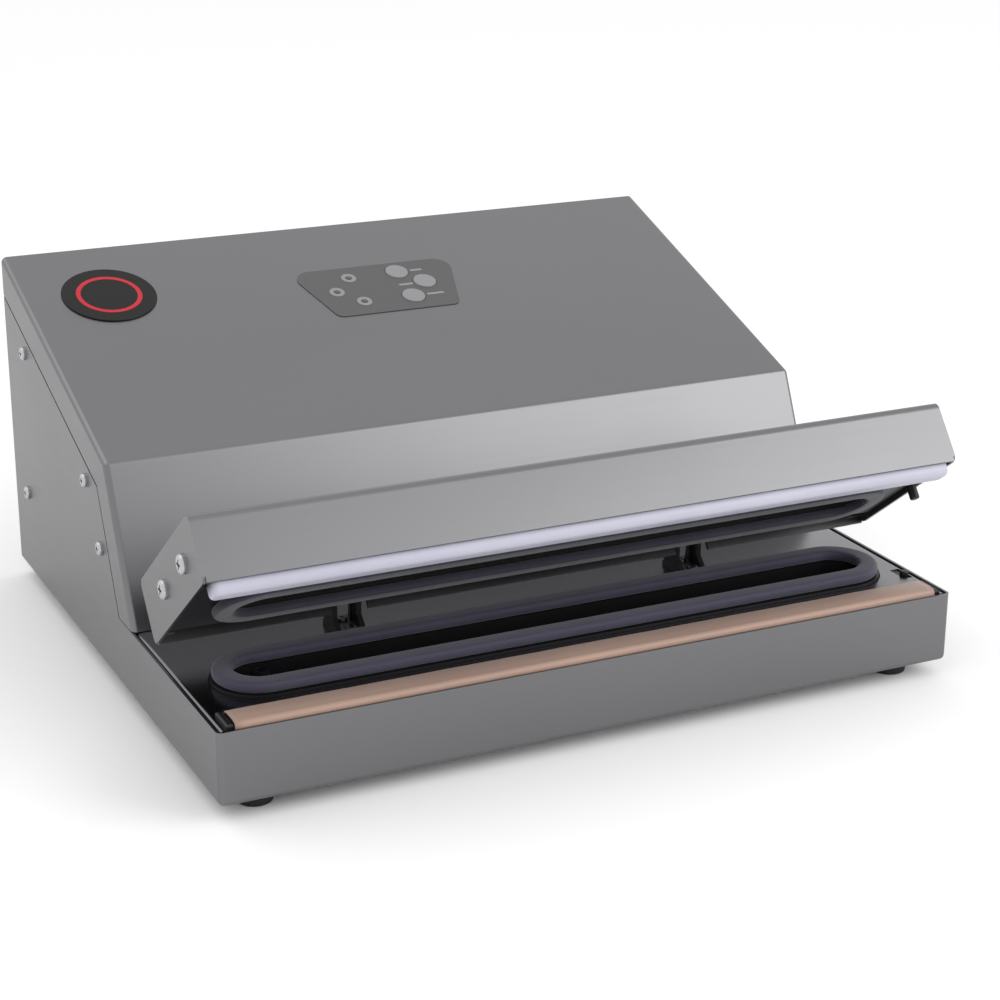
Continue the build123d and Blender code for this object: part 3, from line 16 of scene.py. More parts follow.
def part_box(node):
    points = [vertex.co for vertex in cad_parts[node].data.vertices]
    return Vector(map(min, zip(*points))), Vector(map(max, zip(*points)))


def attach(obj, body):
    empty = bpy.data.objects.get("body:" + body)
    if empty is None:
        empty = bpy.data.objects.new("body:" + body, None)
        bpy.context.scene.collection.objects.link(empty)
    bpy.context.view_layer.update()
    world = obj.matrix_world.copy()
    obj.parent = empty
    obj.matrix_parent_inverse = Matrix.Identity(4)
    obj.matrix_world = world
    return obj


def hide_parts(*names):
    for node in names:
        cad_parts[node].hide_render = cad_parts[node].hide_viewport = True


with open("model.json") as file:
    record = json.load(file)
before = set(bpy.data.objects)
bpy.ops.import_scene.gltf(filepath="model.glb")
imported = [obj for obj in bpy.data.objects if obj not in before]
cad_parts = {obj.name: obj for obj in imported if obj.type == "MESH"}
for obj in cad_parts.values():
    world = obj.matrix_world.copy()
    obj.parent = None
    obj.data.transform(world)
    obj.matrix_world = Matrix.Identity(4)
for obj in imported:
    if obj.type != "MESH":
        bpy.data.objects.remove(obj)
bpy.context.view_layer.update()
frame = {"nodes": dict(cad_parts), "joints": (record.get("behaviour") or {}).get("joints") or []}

bl_info = {
    "name": "Vacuum Sealer",
    "version": (1, 0, 0),
    "blender": (4, 5, 0),
    "location": "View3D > Sidebar > Sealer",
    "description": "Finishes and soft parts of a table-top vacuum sealer",
    "category": "Object",
}

MM = 0.001
NODES = frame["nodes"]

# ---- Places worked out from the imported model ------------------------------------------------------
HINGE = next(joint for joint in frame["joints"] if joint["name"] == "lid_hinge")
LID_OPEN = radians(HINGE["range_deg"][1])
HINGE_BACK = 91.1 * MM  # lid's front face to the hinge axis
HINGE_UP = 20.5 * MM  # lid's lower edge to the hinge axis
TOP_SLOPE = radians(18.95)
LID = (
    Matrix.Translation(HINGE["pos_m"])
    @ Matrix.Rotation(-LID_OPEN, 4, "X")
    @ Matrix.Translation((0, -HINGE_BACK, -HINGE_UP))
)
TOP = Matrix.Rotation(TOP_SLOPE, 4, "X")  # X to the right, Y up the sloping top, Z square to it


def middle(node):
    """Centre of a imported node's box."""
    low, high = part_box(node)
    return (low + high) / 2


def corners_in(place, node):
    """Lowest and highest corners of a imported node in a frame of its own."""
    back = place.inverted()
    points = [back @ vertex.co for vertex in NODES[node].data.vertices]
    low = Vector(min(point[axis] for point in points) for axis in range(3))
    high = Vector(max(point[axis] for point in points) for axis in range(3))
    return low, high


# ---- Materials ------------------------------------------------------------------------------------
NOISE_LOW, NOISE_HIGH = 0.3, 0.7  # between these lies nearly all of a noise texture
WAVE_BANDS = 3.2  # bands to a unit that a wave texture draws at scale 1


def linear(code):
    """An sRGB hex code as linear red, green, blue and alpha."""
    levels = [int(code[at : at + 2], 16) / 255 for at in (1, 3, 5)]
    return (*[v / 12.92 if v <= 0.04045 else ((v + 0.055) / 1.055) ** 2.4 for v in levels], 1.0)


def node(tree, kind, inputs=None, **settings):
    """Adds a node with its settings; its inputs take a value or another node's output."""
    made = tree.nodes.new(kind)
    for name, value in settings.items():
        setattr(made, name, value)
    for name, value in (inputs or {}).items():
        if isinstance(value, bpy.types.NodeSocket):
            tree.links.new(value, made.inputs[name])
        else:
            made.inputs[name].default_value = value
    return made


def new_material(name, inputs):
    """A material with one Principled shader and these constants on its sockets."""
    material = bpy.data.materials.new(name)
    material.use_nodes = True
    tree = material.node_tree
    tree.nodes.clear()
    shader = node(tree, "ShaderNodeBsdfPrincipled", inputs)
    node(tree, "ShaderNodeOutputMaterial", {"Surface": shader.outputs["BSDF"]})
    return material, tree, shader


def object_point(tree, scale=(1, 1, 1)):
    """Object coordinates, stretched."""
    place = node(tree, "ShaderNodeTexCoord")
    mapped = node(tree, "ShaderNodeMapping", {"Vector": place.outputs["Object"], "Scale": scale})
    return mapped.outputs["Vector"]


def ramp(tree, value, low, high, out_low, out_high):
    """A value carried from one range to another."""
    levels = {"Value": value, "From Min": low, "From Max": high, "To Min": out_low, "To Max": out_high}
    return node(tree, "ShaderNodeMapRange", levels).outputs["Result"]


def socket(sockets, identifier):
    """The socket with this identifier, where several share a name."""
    return next(found for found in sockets if found.identifier == identifier)


def noise(tree, size, detail, stretch=(1, 1, 1)):
    """Cloudy noise with patches of a real size."""
    place = object_point(tree, stretch)
    cloud = node(tree, "ShaderNodeTexNoise", {"Vector": place, "Scale": 1 / size, "Detail": detail})
    return cloud.outputs["Fac"]


def bands(tree, pitch, direction, **inputs):
    """Even bands at a real pitch along X or Y."""
    inputs.update(Vector=object_point(tree), Scale=1 / pitch / WAVE_BANDS)
    return node(tree, "ShaderNodeTexWave", inputs, bands_direction=direction).outputs["Fac"]


def tint(tree, shader, share, first, second):
    """Base colour that goes from one colour to another, each a hex code or a linear colour."""
    mix = node(tree, "ShaderNodeMix", {"Factor": share}, data_type="RGBA", blend_type="MIX")
    for name, colour in (("A_Color", first), ("B_Color", second)):
        given = colour if isinstance(colour, tuple) else linear(colour)
        socket(mix.inputs, name).default_value = given
    tree.links.new(socket(mix.outputs, "Result_Color"), shader.inputs["Base Color"])


def roughen(tree, shader, share, smooth, dull):
    """Roughness that follows a noise."""
    rough = ramp(tree, share, NOISE_LOW, NOISE_HIGH, smooth, dull)
    tree.links.new(rough, shader.inputs["Roughness"])


def bump(tree, shader, height, depth):
    """Relief of a real depth, from a height of 0 to 1."""
    relief = node(tree, "ShaderNodeBump", {"Strength": 1.0, "Distance": depth, "Height": height})
    tree.links.new(relief.outputs["Normal"], shader.inputs["Normal"])


def brushed_stainless(name, shade, darker, roughness, grain):
    """Cold-rolled stainless sheet, belt-ground along its length: satin, with fine straight lines.

    The real grit leaves lines 0.1 mm apart. They are drawn coarser so that they show.
    """
    material, tree, shader = new_material(name, {"Metallic": 1.0, "Anisotropic": 0.35})
    streak, long_streak, cloud_size = 1 / 0.0011, 1 / 0.09, 0.11
    along = noise(tree, 1.0, 2.0, (long_streak, streak, streak))
    across = noise(tree, 1.0, 2.0, (streak, long_streak, streak))
    normal = node(tree, "ShaderNodeNewGeometry").outputs["True Normal"]
    facing = node(tree, "ShaderNodeSeparateXYZ", {"Vector": normal})
    side = node(tree, "ShaderNodeMath", {0: facing.outputs["X"]}, operation="ABSOLUTE")
    is_side = node(tree, "ShaderNodeMath", {0: side.outputs[0], 1: 0.7}, operation="GREATER_THAN")
    lines = node(tree, "ShaderNodeMix", {"Factor": is_side.outputs[0], "A": along, "B": across})
    ground = lines.outputs["Result"]
    cloudy = noise(tree, cloud_size, 3.0)
    share = node(tree, "ShaderNodeMix", {"Factor": 0.6, "A": ground, "B": cloudy})
    tint(tree, shader, share.outputs["Result"], darker, shade)
    roughen(tree, shader, share.outputs["Result"], roughness - 0.03, roughness + 0.03)
    bump(tree, shader, ground, grain)
    return material


def turned_steel(name, shade, roughness):
    """Turned or wound steel, plated or blackened: its sheen is faintly uneven."""
    material, tree, shader = new_material(name, {"Metallic": 1.0, "Base Color": linear(shade)})
    roughen(tree, shader, noise(tree, 0.0016, 3.0), roughness - 0.06, roughness + 0.08)
    return material


def moulded(name, shade, lighter, roughness, grain=0.0009, depth=0.00003, gloss=0.4):
    """Injection-moulded plastic with the fine spark-eroded grain of its mould."""
    material, tree, shader = new_material(name, {"IOR": 1.5, "Specular IOR Level": gloss})
    grit = noise(tree, grain, 4.0)
    tint(tree, shader, grit, shade, lighter)
    roughen(tree, shader, grit, roughness - 0.06, roughness + 0.06)
    bump(tree, shader, grit, depth)
    return material


def foam_rubber(name, shade, worn_shade, pore):
    """Closed-cell rubber foam with its moulded skin: dull, with small pores just under the skin."""
    material, tree, shader = new_material(name, {
        "IOR": 1.5, "Specular IOR Level": 0.3, "Sheen Weight": 0.25, "Sheen Roughness": 0.5})
    place = object_point(tree)
    cells = node(tree, "ShaderNodeTexVoronoi", {"Vector": place, "Scale": 1 / pore})
    worn = noise(tree, 0.02, 4.0)
    tint(tree, shader, worn, shade, worn_shade)
    roughen(tree, shader, worn, 0.62, 0.74)
    bump(tree, shader, cells.outputs["Distance"], 0.00004)
    return material


def silicone(name, shade, darker):
    """Cast white silicone: soft, slightly milky, with a faint bloom."""
    material, tree, shader = new_material(name, {
        "IOR": 1.41, "Subsurface Weight": 0.25, "Subsurface Radius": (0.004, 0.004, 0.0045),
        "Subsurface Scale": 1.0})
    bloom = noise(tree, 0.03, 3.0)
    tint(tree, shader, bloom, darker, shade)
    roughen(tree, shader, bloom, 0.36, 0.46)
    bump(tree, shader, noise(tree, 0.0012, 2.0), 0.00001)
    return material


def coated_cloth(name, shade, thread, pitch):
    """Glass cloth coated with PTFE: waxy, with its plain weave pressed through the coating.

    The real weave is 0.5 mm. It is drawn coarser so that it shows.
    """
    material, tree, shader = new_material(name, {"IOR": 1.38, "Sheen Weight": 0.15})
    across, along = bands(tree, pitch, "X"), bands(tree, pitch, "Y")
    crossed = node(tree, "ShaderNodeMath", {0: across, 1: along}, operation="MULTIPLY")
    weave = crossed.outputs[0]
    stain = noise(tree, 0.025, 5.0, (0.4, 1, 1))
    share = node(tree, "ShaderNodeMix", {"Factor": 0.75, "A": weave, "B": stain})
    tint(tree, shader, share.outputs["Result"], thread, shade)
    roughen(tree, shader, stain, 0.36, 0.5)
    bump(tree, shader, weave, 0.00002)
    return material


def painted(name, shade, lighter, roughness, grain=0.0012):
    """Baked powder coat: even colour with a fine orange peel."""
    material, tree, shader = new_material(name, {"IOR": 1.5, "Coat Weight": 0.1})
    peel = noise(tree, grain, 2.0)
    tint(tree, shader, peel, shade, lighter)
    roughen(tree, shader, peel, roughness - 0.05, roughness + 0.05)
    bump(tree, shader, peel, 0.00003)
    return material


def bare_metal(name, shade, darker, roughness, grain):
    """Cast, machined or drawn metal, its colour and polish a little uneven."""
    material, tree, shader = new_material(name, {"Metallic": 1.0})
    uneven = noise(tree, grain, 4.0)
    tint(tree, shader, uneven, darker, shade)
    roughen(tree, shader, uneven, roughness - 0.08, roughness + 0.08)
    return material


def laminated_steel(name, shade, darker, pitch):
    """A stack of varnished steel sheets, their edges showing as fine lines."""
    material, tree, shader = new_material(name, {"Metallic": 0.8})
    stack = bands(tree, pitch, "Y", Distortion=0.4)
    tint(tree, shader, stack, darker, shade)
    tree.links.new(ramp(tree, stack, 0, 1, 0.38, 0.6), shader.inputs["Roughness"])
    bump(tree, shader, stack, 0.00008)
    return material


def dress(material, *names):
    """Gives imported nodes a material."""
    for name in names:
        slots = NODES[name].data.materials
        slots.clear()
        slots.append(material)


# ---- Meshes ---------------------------------------------------------------------------------------
def add_piece(name, mesh, material, body, replaces=(), smooth=True):
    """A finished piece from a bmesh: closed, facing outwards, riding on its body."""
    bmesh.ops.remove_doubles(mesh, verts=mesh.verts, dist=1e-6)
    bmesh.ops.recalc_face_normals(mesh, faces=mesh.faces)
    data = bpy.data.meshes.new(name)
    mesh.to_mesh(data)
    mesh.free()
    data.materials.append(material)
    data.polygons.foreach_set("use_smooth", [smooth] * len(data.polygons))
    piece = bpy.data.objects.new(name, data)
    bpy.context.scene.collection.objects.link(piece)
    return settle(piece, body, replaces)


def settle(piece, body, replaces=()):
    """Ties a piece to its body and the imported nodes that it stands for."""
    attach(piece, body)
    if replaces:
        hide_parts(*replaces)
    return piece


def bake(piece):
    """Makes the evaluated object a plain mesh, its modifiers gone."""
    graph = bpy.context.evaluated_depsgraph_get()
    data = bpy.data.meshes.new_from_object(piece.evaluated_get(graph), depsgraph=graph)
    piece.modifiers.clear()
    piece.data = data


def turned(mesh, profile, place, turns=48):
    """Adds a turned form to a bmesh: its profile is a closed loop of (radius, height)."""
    rings = []
    for radius, height in profile:
        steps = range(turns if radius > 0 else 1)
        spokes = [2 * pi * step / turns for step in steps]
        points = [Vector((radius * cos(angle), radius * sin(angle), height)) for angle in spokes]
        rings.append([mesh.verts.new(place @ point) for point in points])
    for at, lower in enumerate(rings):
        upper = rings[(at + 1) % len(rings)]
        for step in range(turns):
            after = (step + 1) % turns
            around = (lower, step), (lower, after), (upper, after), (upper, step)
            corners = list(dict.fromkeys(ring[place_at % len(ring)] for ring, place_at in around))
            if len(corners) > 2:
                mesh.faces.new(corners)


def lofted(mesh, sections):
    """Adds a closed form to a bmesh through equal loops of points, capped at both ends."""
    loops = [[mesh.verts.new(point) for point in section] for section in sections]
    count = len(loops[0])
    for lower, upper in zip(loops, loops[1:]):
        for step in range(count):
            after = (step + 1) % count
            mesh.faces.new((lower[step], lower[after], upper[after], upper[step]))
    mesh.faces.new(loops[0])
    mesh.faces.new(loops[-1])


def arc(centre, radius, start, end, steps):
    """Points of an arc in a plane, angles in degrees."""
    angles = [radians(start + (end - start) * step / steps) for step in range(steps + 1)]
    return [(centre[0] + radius * cos(angle), centre[1] + radius * sin(angle)) for angle in angles]


# ---- Geometry node trees --------------------------------------------------------------------------
def new_tree(name, inputs):
    """A geometry node tree with named inputs, given as (name, socket type, default)."""
    tree = bpy.data.node_groups.new(name, "GeometryNodeTree")
    for label, kind, default in inputs:
        item = tree.interface.new_socket(label, in_out="INPUT", socket_type=kind)
        if default is not None:
            item.default_value = default
    tree.interface.new_socket("Geometry", in_out="OUTPUT", socket_type="NodeSocketGeometry")
    start = node(tree, "NodeGroupInput")
    return tree, start.outputs


def end_tree(tree, geometry, material):
    """Ends a tree with real instances, smooth shading and a material."""
    real = node(tree, "GeometryNodeRealizeInstances", {"Geometry": geometry})
    smooth = node(tree, "GeometryNodeSetShadeSmooth", {"Geometry": real.outputs["Geometry"]})
    finish = node(tree, "GeometryNodeSetMaterial", {
        "Geometry": smooth.outputs["Geometry"], "Material": material})
    node(tree, "NodeGroupOutput", {"Geometry": finish.outputs["Geometry"]})
    return tree


def grown(name, tree, values, place, start=None):
    """An object made by a node tree with these input values, baked and moved to its place."""
    piece = bpy.data.objects.new(name, start or bpy.data.meshes.new(name))
    bpy.context.scene.collection.objects.link(piece)
    modifier = piece.modifiers.new("grow", "NODES")
    modifier.node_group = tree
    for item in tree.interface.items_tree:
        if item.item_type == "SOCKET" and item.in_out == "INPUT" and item.name in values:
            modifier[item.identifier] = values[item.name]
    bake(piece)
    piece.data.transform(place)
    return piece


def gasket_tree():
    """A rounded section carried round a closed track with half-round ends."""
    tree, given = new_tree("gasket", [
        ("Length", "NodeSocketFloat", 0.3), ("Width", "NodeSocketFloat", 0.04),
        ("Thickness", "NodeSocketFloat", 0.01), ("Height", "NodeSocketFloat", 0.006),
        ("Rounding", "NodeSocketFloat", 0.002), ("Material", "NodeSocketMaterial", None)])
    nearly_half = 0.4999  # a full half would leave ends of no length
    half = node(tree, "ShaderNodeMath", {0: given["Width"], 1: nearly_half}, operation="MULTIPLY")
    frame_line = node(tree, "GeometryNodeCurvePrimitiveQuadrilateral", {
        "Width": given["Length"], "Height": given["Width"]})
    track = node(tree, "GeometryNodeFilletCurve", {
        "Curve": frame_line.outputs["Curve"], "Radius": half.outputs[0], "Count": 28}, mode="POLY")
    outline = node(tree, "GeometryNodeCurvePrimitiveQuadrilateral", {
        "Width": given["Thickness"], "Height": given["Height"]})
    section = node(tree, "GeometryNodeFilletCurve", {
        "Curve": outline.outputs["Curve"], "Radius": given["Rounding"], "Count": 6}, mode="POLY")
    band = node(tree, "GeometryNodeCurveToMesh", {
        "Curve": track.outputs["Curve"], "Profile Curve": section.outputs["Curve"]})
    return end_tree(tree, band.outputs["Mesh"], given["Material"])


def repeated_tree():
    """A form set on each of the given points."""
    tree, given = new_tree("repeated", [
        ("Points", "NodeSocketGeometry", None), ("Form", "NodeSocketObject", None),
        ("Material", "NodeSocketMaterial", None)])
    form = node(tree, "GeometryNodeObjectInfo", {"Object": given["Form"]}, transform_space="ORIGINAL")
    spots = node(tree, "GeometryNodeMeshToPoints", {"Mesh": given["Points"], "Radius": 0.001})
    copies = node(tree, "GeometryNodeInstanceOnPoints", {
        "Points": spots.outputs["Points"], "Instance": form.outputs["Geometry"]})
    return end_tree(tree, copies.outputs["Instances"], given["Material"])


def repeated(name, profile, points, material, place):
    """A turned form repeated at points of a frame, as one mesh."""
    form = bmesh.new()
    turned(form, profile, Matrix())
    bmesh.ops.recalc_face_normals(form, faces=form.faces)
    data = bpy.data.meshes.new(name + "_form")
    form.to_mesh(data)
    form.free()
    source = bpy.data.objects.new(name + "_form", data)
    spots = bpy.data.meshes.new(name)
    spots.from_pydata([tuple(point) for point in points], [], [])
    piece = grown(name, repeated_tree(), {"Form": source, "Material": material}, place, spots)
    bpy.data.objects.remove(source)
    return piece


# ---- Settings -------------------------------------------------------------------------------------
class SealerSteel(bpy.types.PropertyGroup):
    """Finish of the stainless sheet."""

    shade: FloatVectorProperty(
        name="Shade", description="Colour of the brushed stainless sheet", subtype="COLOR",
        size=3, min=0, max=1, default=linear("#7B7B7D")[:3])
    roughness: FloatProperty(
        name="Roughness", description="How dull the grinding leaves the sheet",
        default=0.34, min=0.1, max=0.8)
    grain: FloatProperty(
        name="Grain depth", description="Depth of the ground lines",
        default=0.000012, unit="LENGTH", precision=6)


class SealerSoft(bpy.types.PropertyGroup):
    """Sizes of the soft parts."""

    gasket_rounding: FloatProperty(
        name="Gasket rounding", description="Radius of the gaskets' edges",
        default=2.2 * MM, unit="LENGTH")
    pad_rounding: FloatProperty(
        name="Pad rounding", description="Radius of the silicone pad's lower edges",
        default=3.8 * MM, unit="LENGTH")
    foot_rounding: FloatProperty(
        name="Foot rounding", description="Radius round each foot's sole",
        default=1.2 * MM, unit="LENGTH")


class SealerStage(bpy.types.PropertyGroup):
    """Light, floor and camera."""

    sky: FloatProperty(
        name="Surround", description="Strength of the even light all round", default=1.05, min=0, max=4)
    key: FloatProperty(
        name="Main light", description="Power of the large light over the front",
        default=15.0, unit="POWER")
    fill: FloatProperty(
        name="Fill light", description="Power of the small light over the left side",
        default=1.5, unit="POWER")
    lens: FloatProperty(name="Lens", description="Focal length on a 36 mm wide sensor", default=82.13)


# ---- Operators ------------------------------------------------------------------------------------
class SEALER_OT_sheet_metal(bpy.types.Operator):
    """Brushed stainless for the cabinet, the deck and the lid"""

    bl_idname = "sealer.sheet_metal"
    bl_label = "Sheet metal"

    def execute(self, context):
        given = context.scene.sealer_steel
        shade = (*given.shade, 1.0)
        worn = (*[level * 0.9 for level in given.shade], 1.0)
        satin = brushed_stainless("brushed stainless", shade, worn, given.roughness, given.grain)
        bright = brushed_stainless("deck stainless", "#7E7E82", "#747478", 0.24, given.grain / 2)
        dress(satin, "base_pan", "cover", "lid_shell", "lid_end_plates")
        dress(bright, "deck_plate", "rear_panel")
        return {"FINISHED"}


class SEALER_OT_fasteners(bpy.types.Operator):
    """Screws, pins, posts and springs"""

    bl_idname = "sealer.fasteners"
    bl_label = "Fasteners"

    def execute(self, context):
        plated = turned_steel("zinc-plated steel", "#B9B9BC", 0.28)
        dress(plated, "side_screws", "lid_screws", "foot_screws", "hinge_pins", "standoffs")
        dress(turned_steel("blackened steel", "#55565A", 0.35), "inner_screws")
        dress(turned_steel("oiled spring steel", "#3A3A3E", 0.35), "hinge_springs")
        return {"FINISHED"}


class SEALER_OT_gaskets(bpy.types.Operator):
    """The two foam gaskets that meet when the lid shuts"""

    bl_idname = "sealer.gaskets"
    bl_label = "Gaskets"

    def execute(self, context):
        given = context.scene.sealer_soft
        foam = foam_rubber("closed-cell foam rubber", "#3A3848", "#454355", 0.0011)
        tree = gasket_tree()
        thickness, lower_rise, upper_rise = 10.0 * MM, 5.4 * MM, 4.5 * MM
        low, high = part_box("lower_gasket")
        values = {
            "Length": high.x - low.x - thickness, "Width": high.y - low.y - thickness,
            "Thickness": thickness, "Height": lower_rise,
            "Rounding": given.gasket_rounding, "Material": foam}
        centre = Vector(((low.x + high.x) / 2, (low.y + high.y) / 2, high.z - lower_rise / 2))
        lower = grown("lower_gasket_foam", tree, values, Matrix.Translation(centre))
        settle(lower, "cabinet", ["lower_gasket"])
        low, high = corners_in(LID, "upper_gasket")
        values["Height"] = upper_rise
        # The upper gasket is the same foam as the lower one; its darker colours are painted shade for the
        # shade under the lid.
        values["Material"] = foam_rubber("foam rubber in painted shade", "#2E2D3A", "#24232F", 0.0011)
        values["Rounding"] = given.gasket_rounding * 0.8
        centre = Vector(((low.x + high.x) / 2, (low.y + high.y) / 2, low.z + upper_rise / 2))
        upper = grown("upper_gasket_foam", tree, values, LID @ Matrix.Translation(centre))
        settle(upper, "lid", ["upper_gasket"])
        return {"FINISHED"}


class SEALER_OT_seal_pad(bpy.types.Operator):
    """The silicone pad that presses the bag on the seal bar, and its rail"""

    bl_idname = "sealer.seal_pad"
    bl_label = "Seal pad"

    def execute(self, context):
        rubber = silicone("white silicone", "#B9B9C7", "#ADADBB")
        low, high = corners_in(LID, "seal_pad")
        radius = context.scene.sealer_soft.pad_rounding
        stem_rise = 8.7 * MM
        stem_up = low.z + stem_rise
        front = arc((low.y + radius, low.z + radius), radius, 180, 270, 8)
        rear = arc((high.y - radius, low.z + radius), radius, 270, 360, 8)
        outline = [(low.y, stem_up), *front, *rear, (high.y, stem_up)]
        centre = Vector((0, (low.y + high.y) / 2, low.z + radius))
        mesh = bmesh.new()
        sections = []
        for x, shrink in self.stations(low.x, high.x, radius):
            points = []
            for y, z in outline:
                inward = Vector((0, y, z)).lerp(centre, shrink)
                if z >= stem_up:
                    inward.z = stem_up
                points.append(LID @ Vector((x, inward.y, inward.z)))
            sections.append(points)
        lofted(mesh, sections)
        add_piece("seal_pad_silicone", mesh, rubber, "lid", ["seal_pad"])
        dress(bare_metal("extruded aluminium", "#B4B5B8", "#A4A5A9", 0.38, 0.002), "pad_holder")
        return {"FINISHED"}

    def stations(self, low, high, radius):
        """Places along the pad, the ends drawn in as a rounded edge."""
        rounding, end_shrink = radius * 0.8, 0.3
        steps, spans = 6, 24
        ends = []
        for step in range(steps + 1):
            angle = pi / 2 * step / steps
            ends.append((rounding * (1 - cos(angle)), end_shrink * (1 - sin(angle))))
        length = high - low - 2 * rounding
        first = [(low + x, shrink) for x, shrink in ends]
        inner = [(low + rounding + length * step / spans, 0) for step in range(1, spans)]
        last = [(high - x, shrink) for x, shrink in reversed(ends)]
        return first + inner + last


class SEALER_OT_seal_bar(bpy.types.Operator):
    """The seal bar: coated cloth over the heating strip, its base, end blocks and terminals"""

    bl_idname = "sealer.seal_bar"
    bl_label = "Seal bar"

    def execute(self, context):
        cloth = coated_cloth("PTFE-coated glass cloth", "#AE9283", "#957B6E", 0.0011)
        self.cover(cloth)
        dress(moulded("phenolic laminate", "#2A1E17", "#3A2A20", 0.5), "seal_bar_base", "bar_supports")
        dress(moulded("black nylon", "#0D0D0F", "#18181B", 0.45), "bar_end_blocks")
        dress(bare_metal("resistance alloy", "#A8A29C", "#8D8781", 0.4, 0.003), "heating_strip")
        dress(bare_metal("turned brass", "#B99A54", "#9A7E40", 0.32, 0.002), "terminal_posts", "inlet_pins")
        return {"FINISHED"}

    def cover(self, cloth):
        """The cloth, pulled over the bar: a ridge shows where the heating strip lies under it."""
        low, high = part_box("seal_tape")
        thickness, rounding = 0.6 * MM, 2.4 * MM
        ridge_half, ridge_rise, ridge_edge = 3.7 * MM, 0.3 * MM, 1.0 * MM
        centre = (low.y + high.y) / 2
        reach = high.y - centre

        def outline(inset):
            bend = rounding - inset
            side = reach - inset
            top = high.z - ridge_rise - inset
            front = arc((centre - side + bend, top - bend), bend, 180, 90, 8)
            rear = arc((centre + side - bend, top - bend), bend, 90, 0, 8)
            ridge = [
                (centre - ridge_half - ridge_edge, top), (centre - ridge_half, top + ridge_rise),
                (centre + ridge_half, top + ridge_rise), (centre + ridge_half + ridge_edge, top)]
            return [(centre - side, low.z), *front, *ridge, *rear, (centre + side, low.z)]

        around = outline(0) + outline(thickness)[::-1]
        mesh = bmesh.new()
        spans = 90
        pucker_rise, long_ripple, short_ripple = 0.07 * MM, 0.017, 0.0071
        sections = []
        for step in range(spans + 1):
            x = low.x + (high.x - low.x) * step / spans
            pucker = pucker_rise * sin(x / long_ripple) * sin(x / short_ripple)
            section = []
            for y, z in around:
                section.append(Vector((x, y, z + pucker * (z - low.z) / (high.z - low.z))))
            sections.append(section)
        lofted(mesh, sections)
        piece = add_piece("seal_cloth", mesh, cloth, "cabinet", ["seal_tape"])


class SEALER_OT_trough(bpy.types.Operator):
    """The black trough in the deck and the tray under the lid"""

    bl_idname = "sealer.trough"
    bl_label = "Trough and tray"

    def execute(self, context):
        black = moulded("black ABS", "#0B0B0D", "#151518", 0.42)
        dress(black, "vacuum_trough", "suction_port", "lid_tray", "lid_peg")
        dress(black, "switch_guide", "switch_plunger", "lid_switch")
        return {"FINISHED"}


class SEALER_OT_hinges(bpy.types.Operator):
    """Hinge brackets and leaves"""

    bl_idname = "sealer.hinges"
    bl_label = "Hinges"

    def execute(self, context):
        coat = painted("black powder coat", "#0C0C0E", "#17171A", 0.42)
        dress(coat, "hinge_brackets", "lid_hinge_leaves")
        return {"FINISHED"}


class SEALER_OT_keypad(bpy.types.Operator):
    """The printed keypad with its buttons and lamps"""

    bl_idname = "sealer.keypad"
    bl_label = "Keypad"

    def execute(self, context):
        film = moulded("printed polyester film", "#505051", "#585859", 0.5, 0.0006, 0.00001, 0.25)
        keys = moulded("grey ABS keys", "#7F7F81", "#88888A", 0.45, 0.0006, 0.00001, 0.3)
        window = moulded("smoked acrylic", "#434344", "#4B4B4C", 0.25, 0.002, 0.000002, 0.4)
        ink = moulded("light grey ink", "#858587", "#8F8F91", 0.55, 0.0008, 0.000004, 0.2)
        dress(film, "keypad_panel")
        dress(keys, "button_pump", "button_seal", "button_stop", "indicator_lenses")
        self.lamp_windows(window)
        self.label_bars(ink)
        return {"FINISHED"}

    def lamp_windows(self, window):
        """A low dome in the middle of each lamp."""
        radius, rise, foot, edge = 1.9 * MM, 0.3 * MM, 0.35 * MM, 0.1 * MM
        lamp_top = corners_in(TOP, "indicator_lenses")[1].z
        profile = [(0, -foot), (radius, -foot), (radius, -edge), (0.8 * radius, 0.5 * rise), (0, rise)]
        points = [(x, y, lamp_top) for x, y in self.lamp_middles()]
        domes = repeated("lamp_windows", profile, points, window, TOP)
        settle(domes, "cabinet")

    def lamp_middles(self):
        """Where the three lamps stand in the sloping top's frame."""
        back = TOP.inverted()
        points = [back @ vertex.co for vertex in NODES["indicator_lenses"].data.vertices]
        space_between = 1.0 * MM
        lamps = []
        for point in sorted(points, key=lambda point: point.y):
            if not lamps or point.y - lamps[-1][-1].y > space_between:
                lamps.append([])
            lamps[-1].append(point)
        return [
            ((min(p.x for p in lamp) + max(p.x for p in lamp)) / 2, (lamp[0].y + lamp[-1].y) / 2)
            for lamp in lamps]

    def label_bars(self, ink):
        """A plain printed bar beside each key, where a label would be."""
        width, sheet = 1.7 * MM, 0.06 * MM
        film_top = corners_in(TOP, "keypad_panel")[1].z
        # Millimetres: along and up from the key's middle, and the bar's length.
        bars = (("pump", 11.8, 0, 7.2), ("seal", -11.8, -1.2, 8.6), ("stop", 13.3, 0, 10.4))
        mesh = bmesh.new()
        for key, along, up, length in bars:
            low, high = corners_in(TOP, "button_" + key)
            centre = Vector(((low.x + high.x) / 2 + along * MM, (low.y + high.y) / 2 + up * MM, 0))
            half = length * MM / 2 - width / 2
            ends = arc((half, 0), width / 2, -90, 90, 8) + arc((-half, 0), width / 2, 90, 270, 8)
            loops = [
                [TOP @ (centre + Vector((x, y, film_top + rise))) for x, y in ends]
                for rise in (-sheet / 2, sheet)]
            lofted(mesh, loops)
        add_piece("label_bars", mesh, ink, "cabinet", smooth=False)


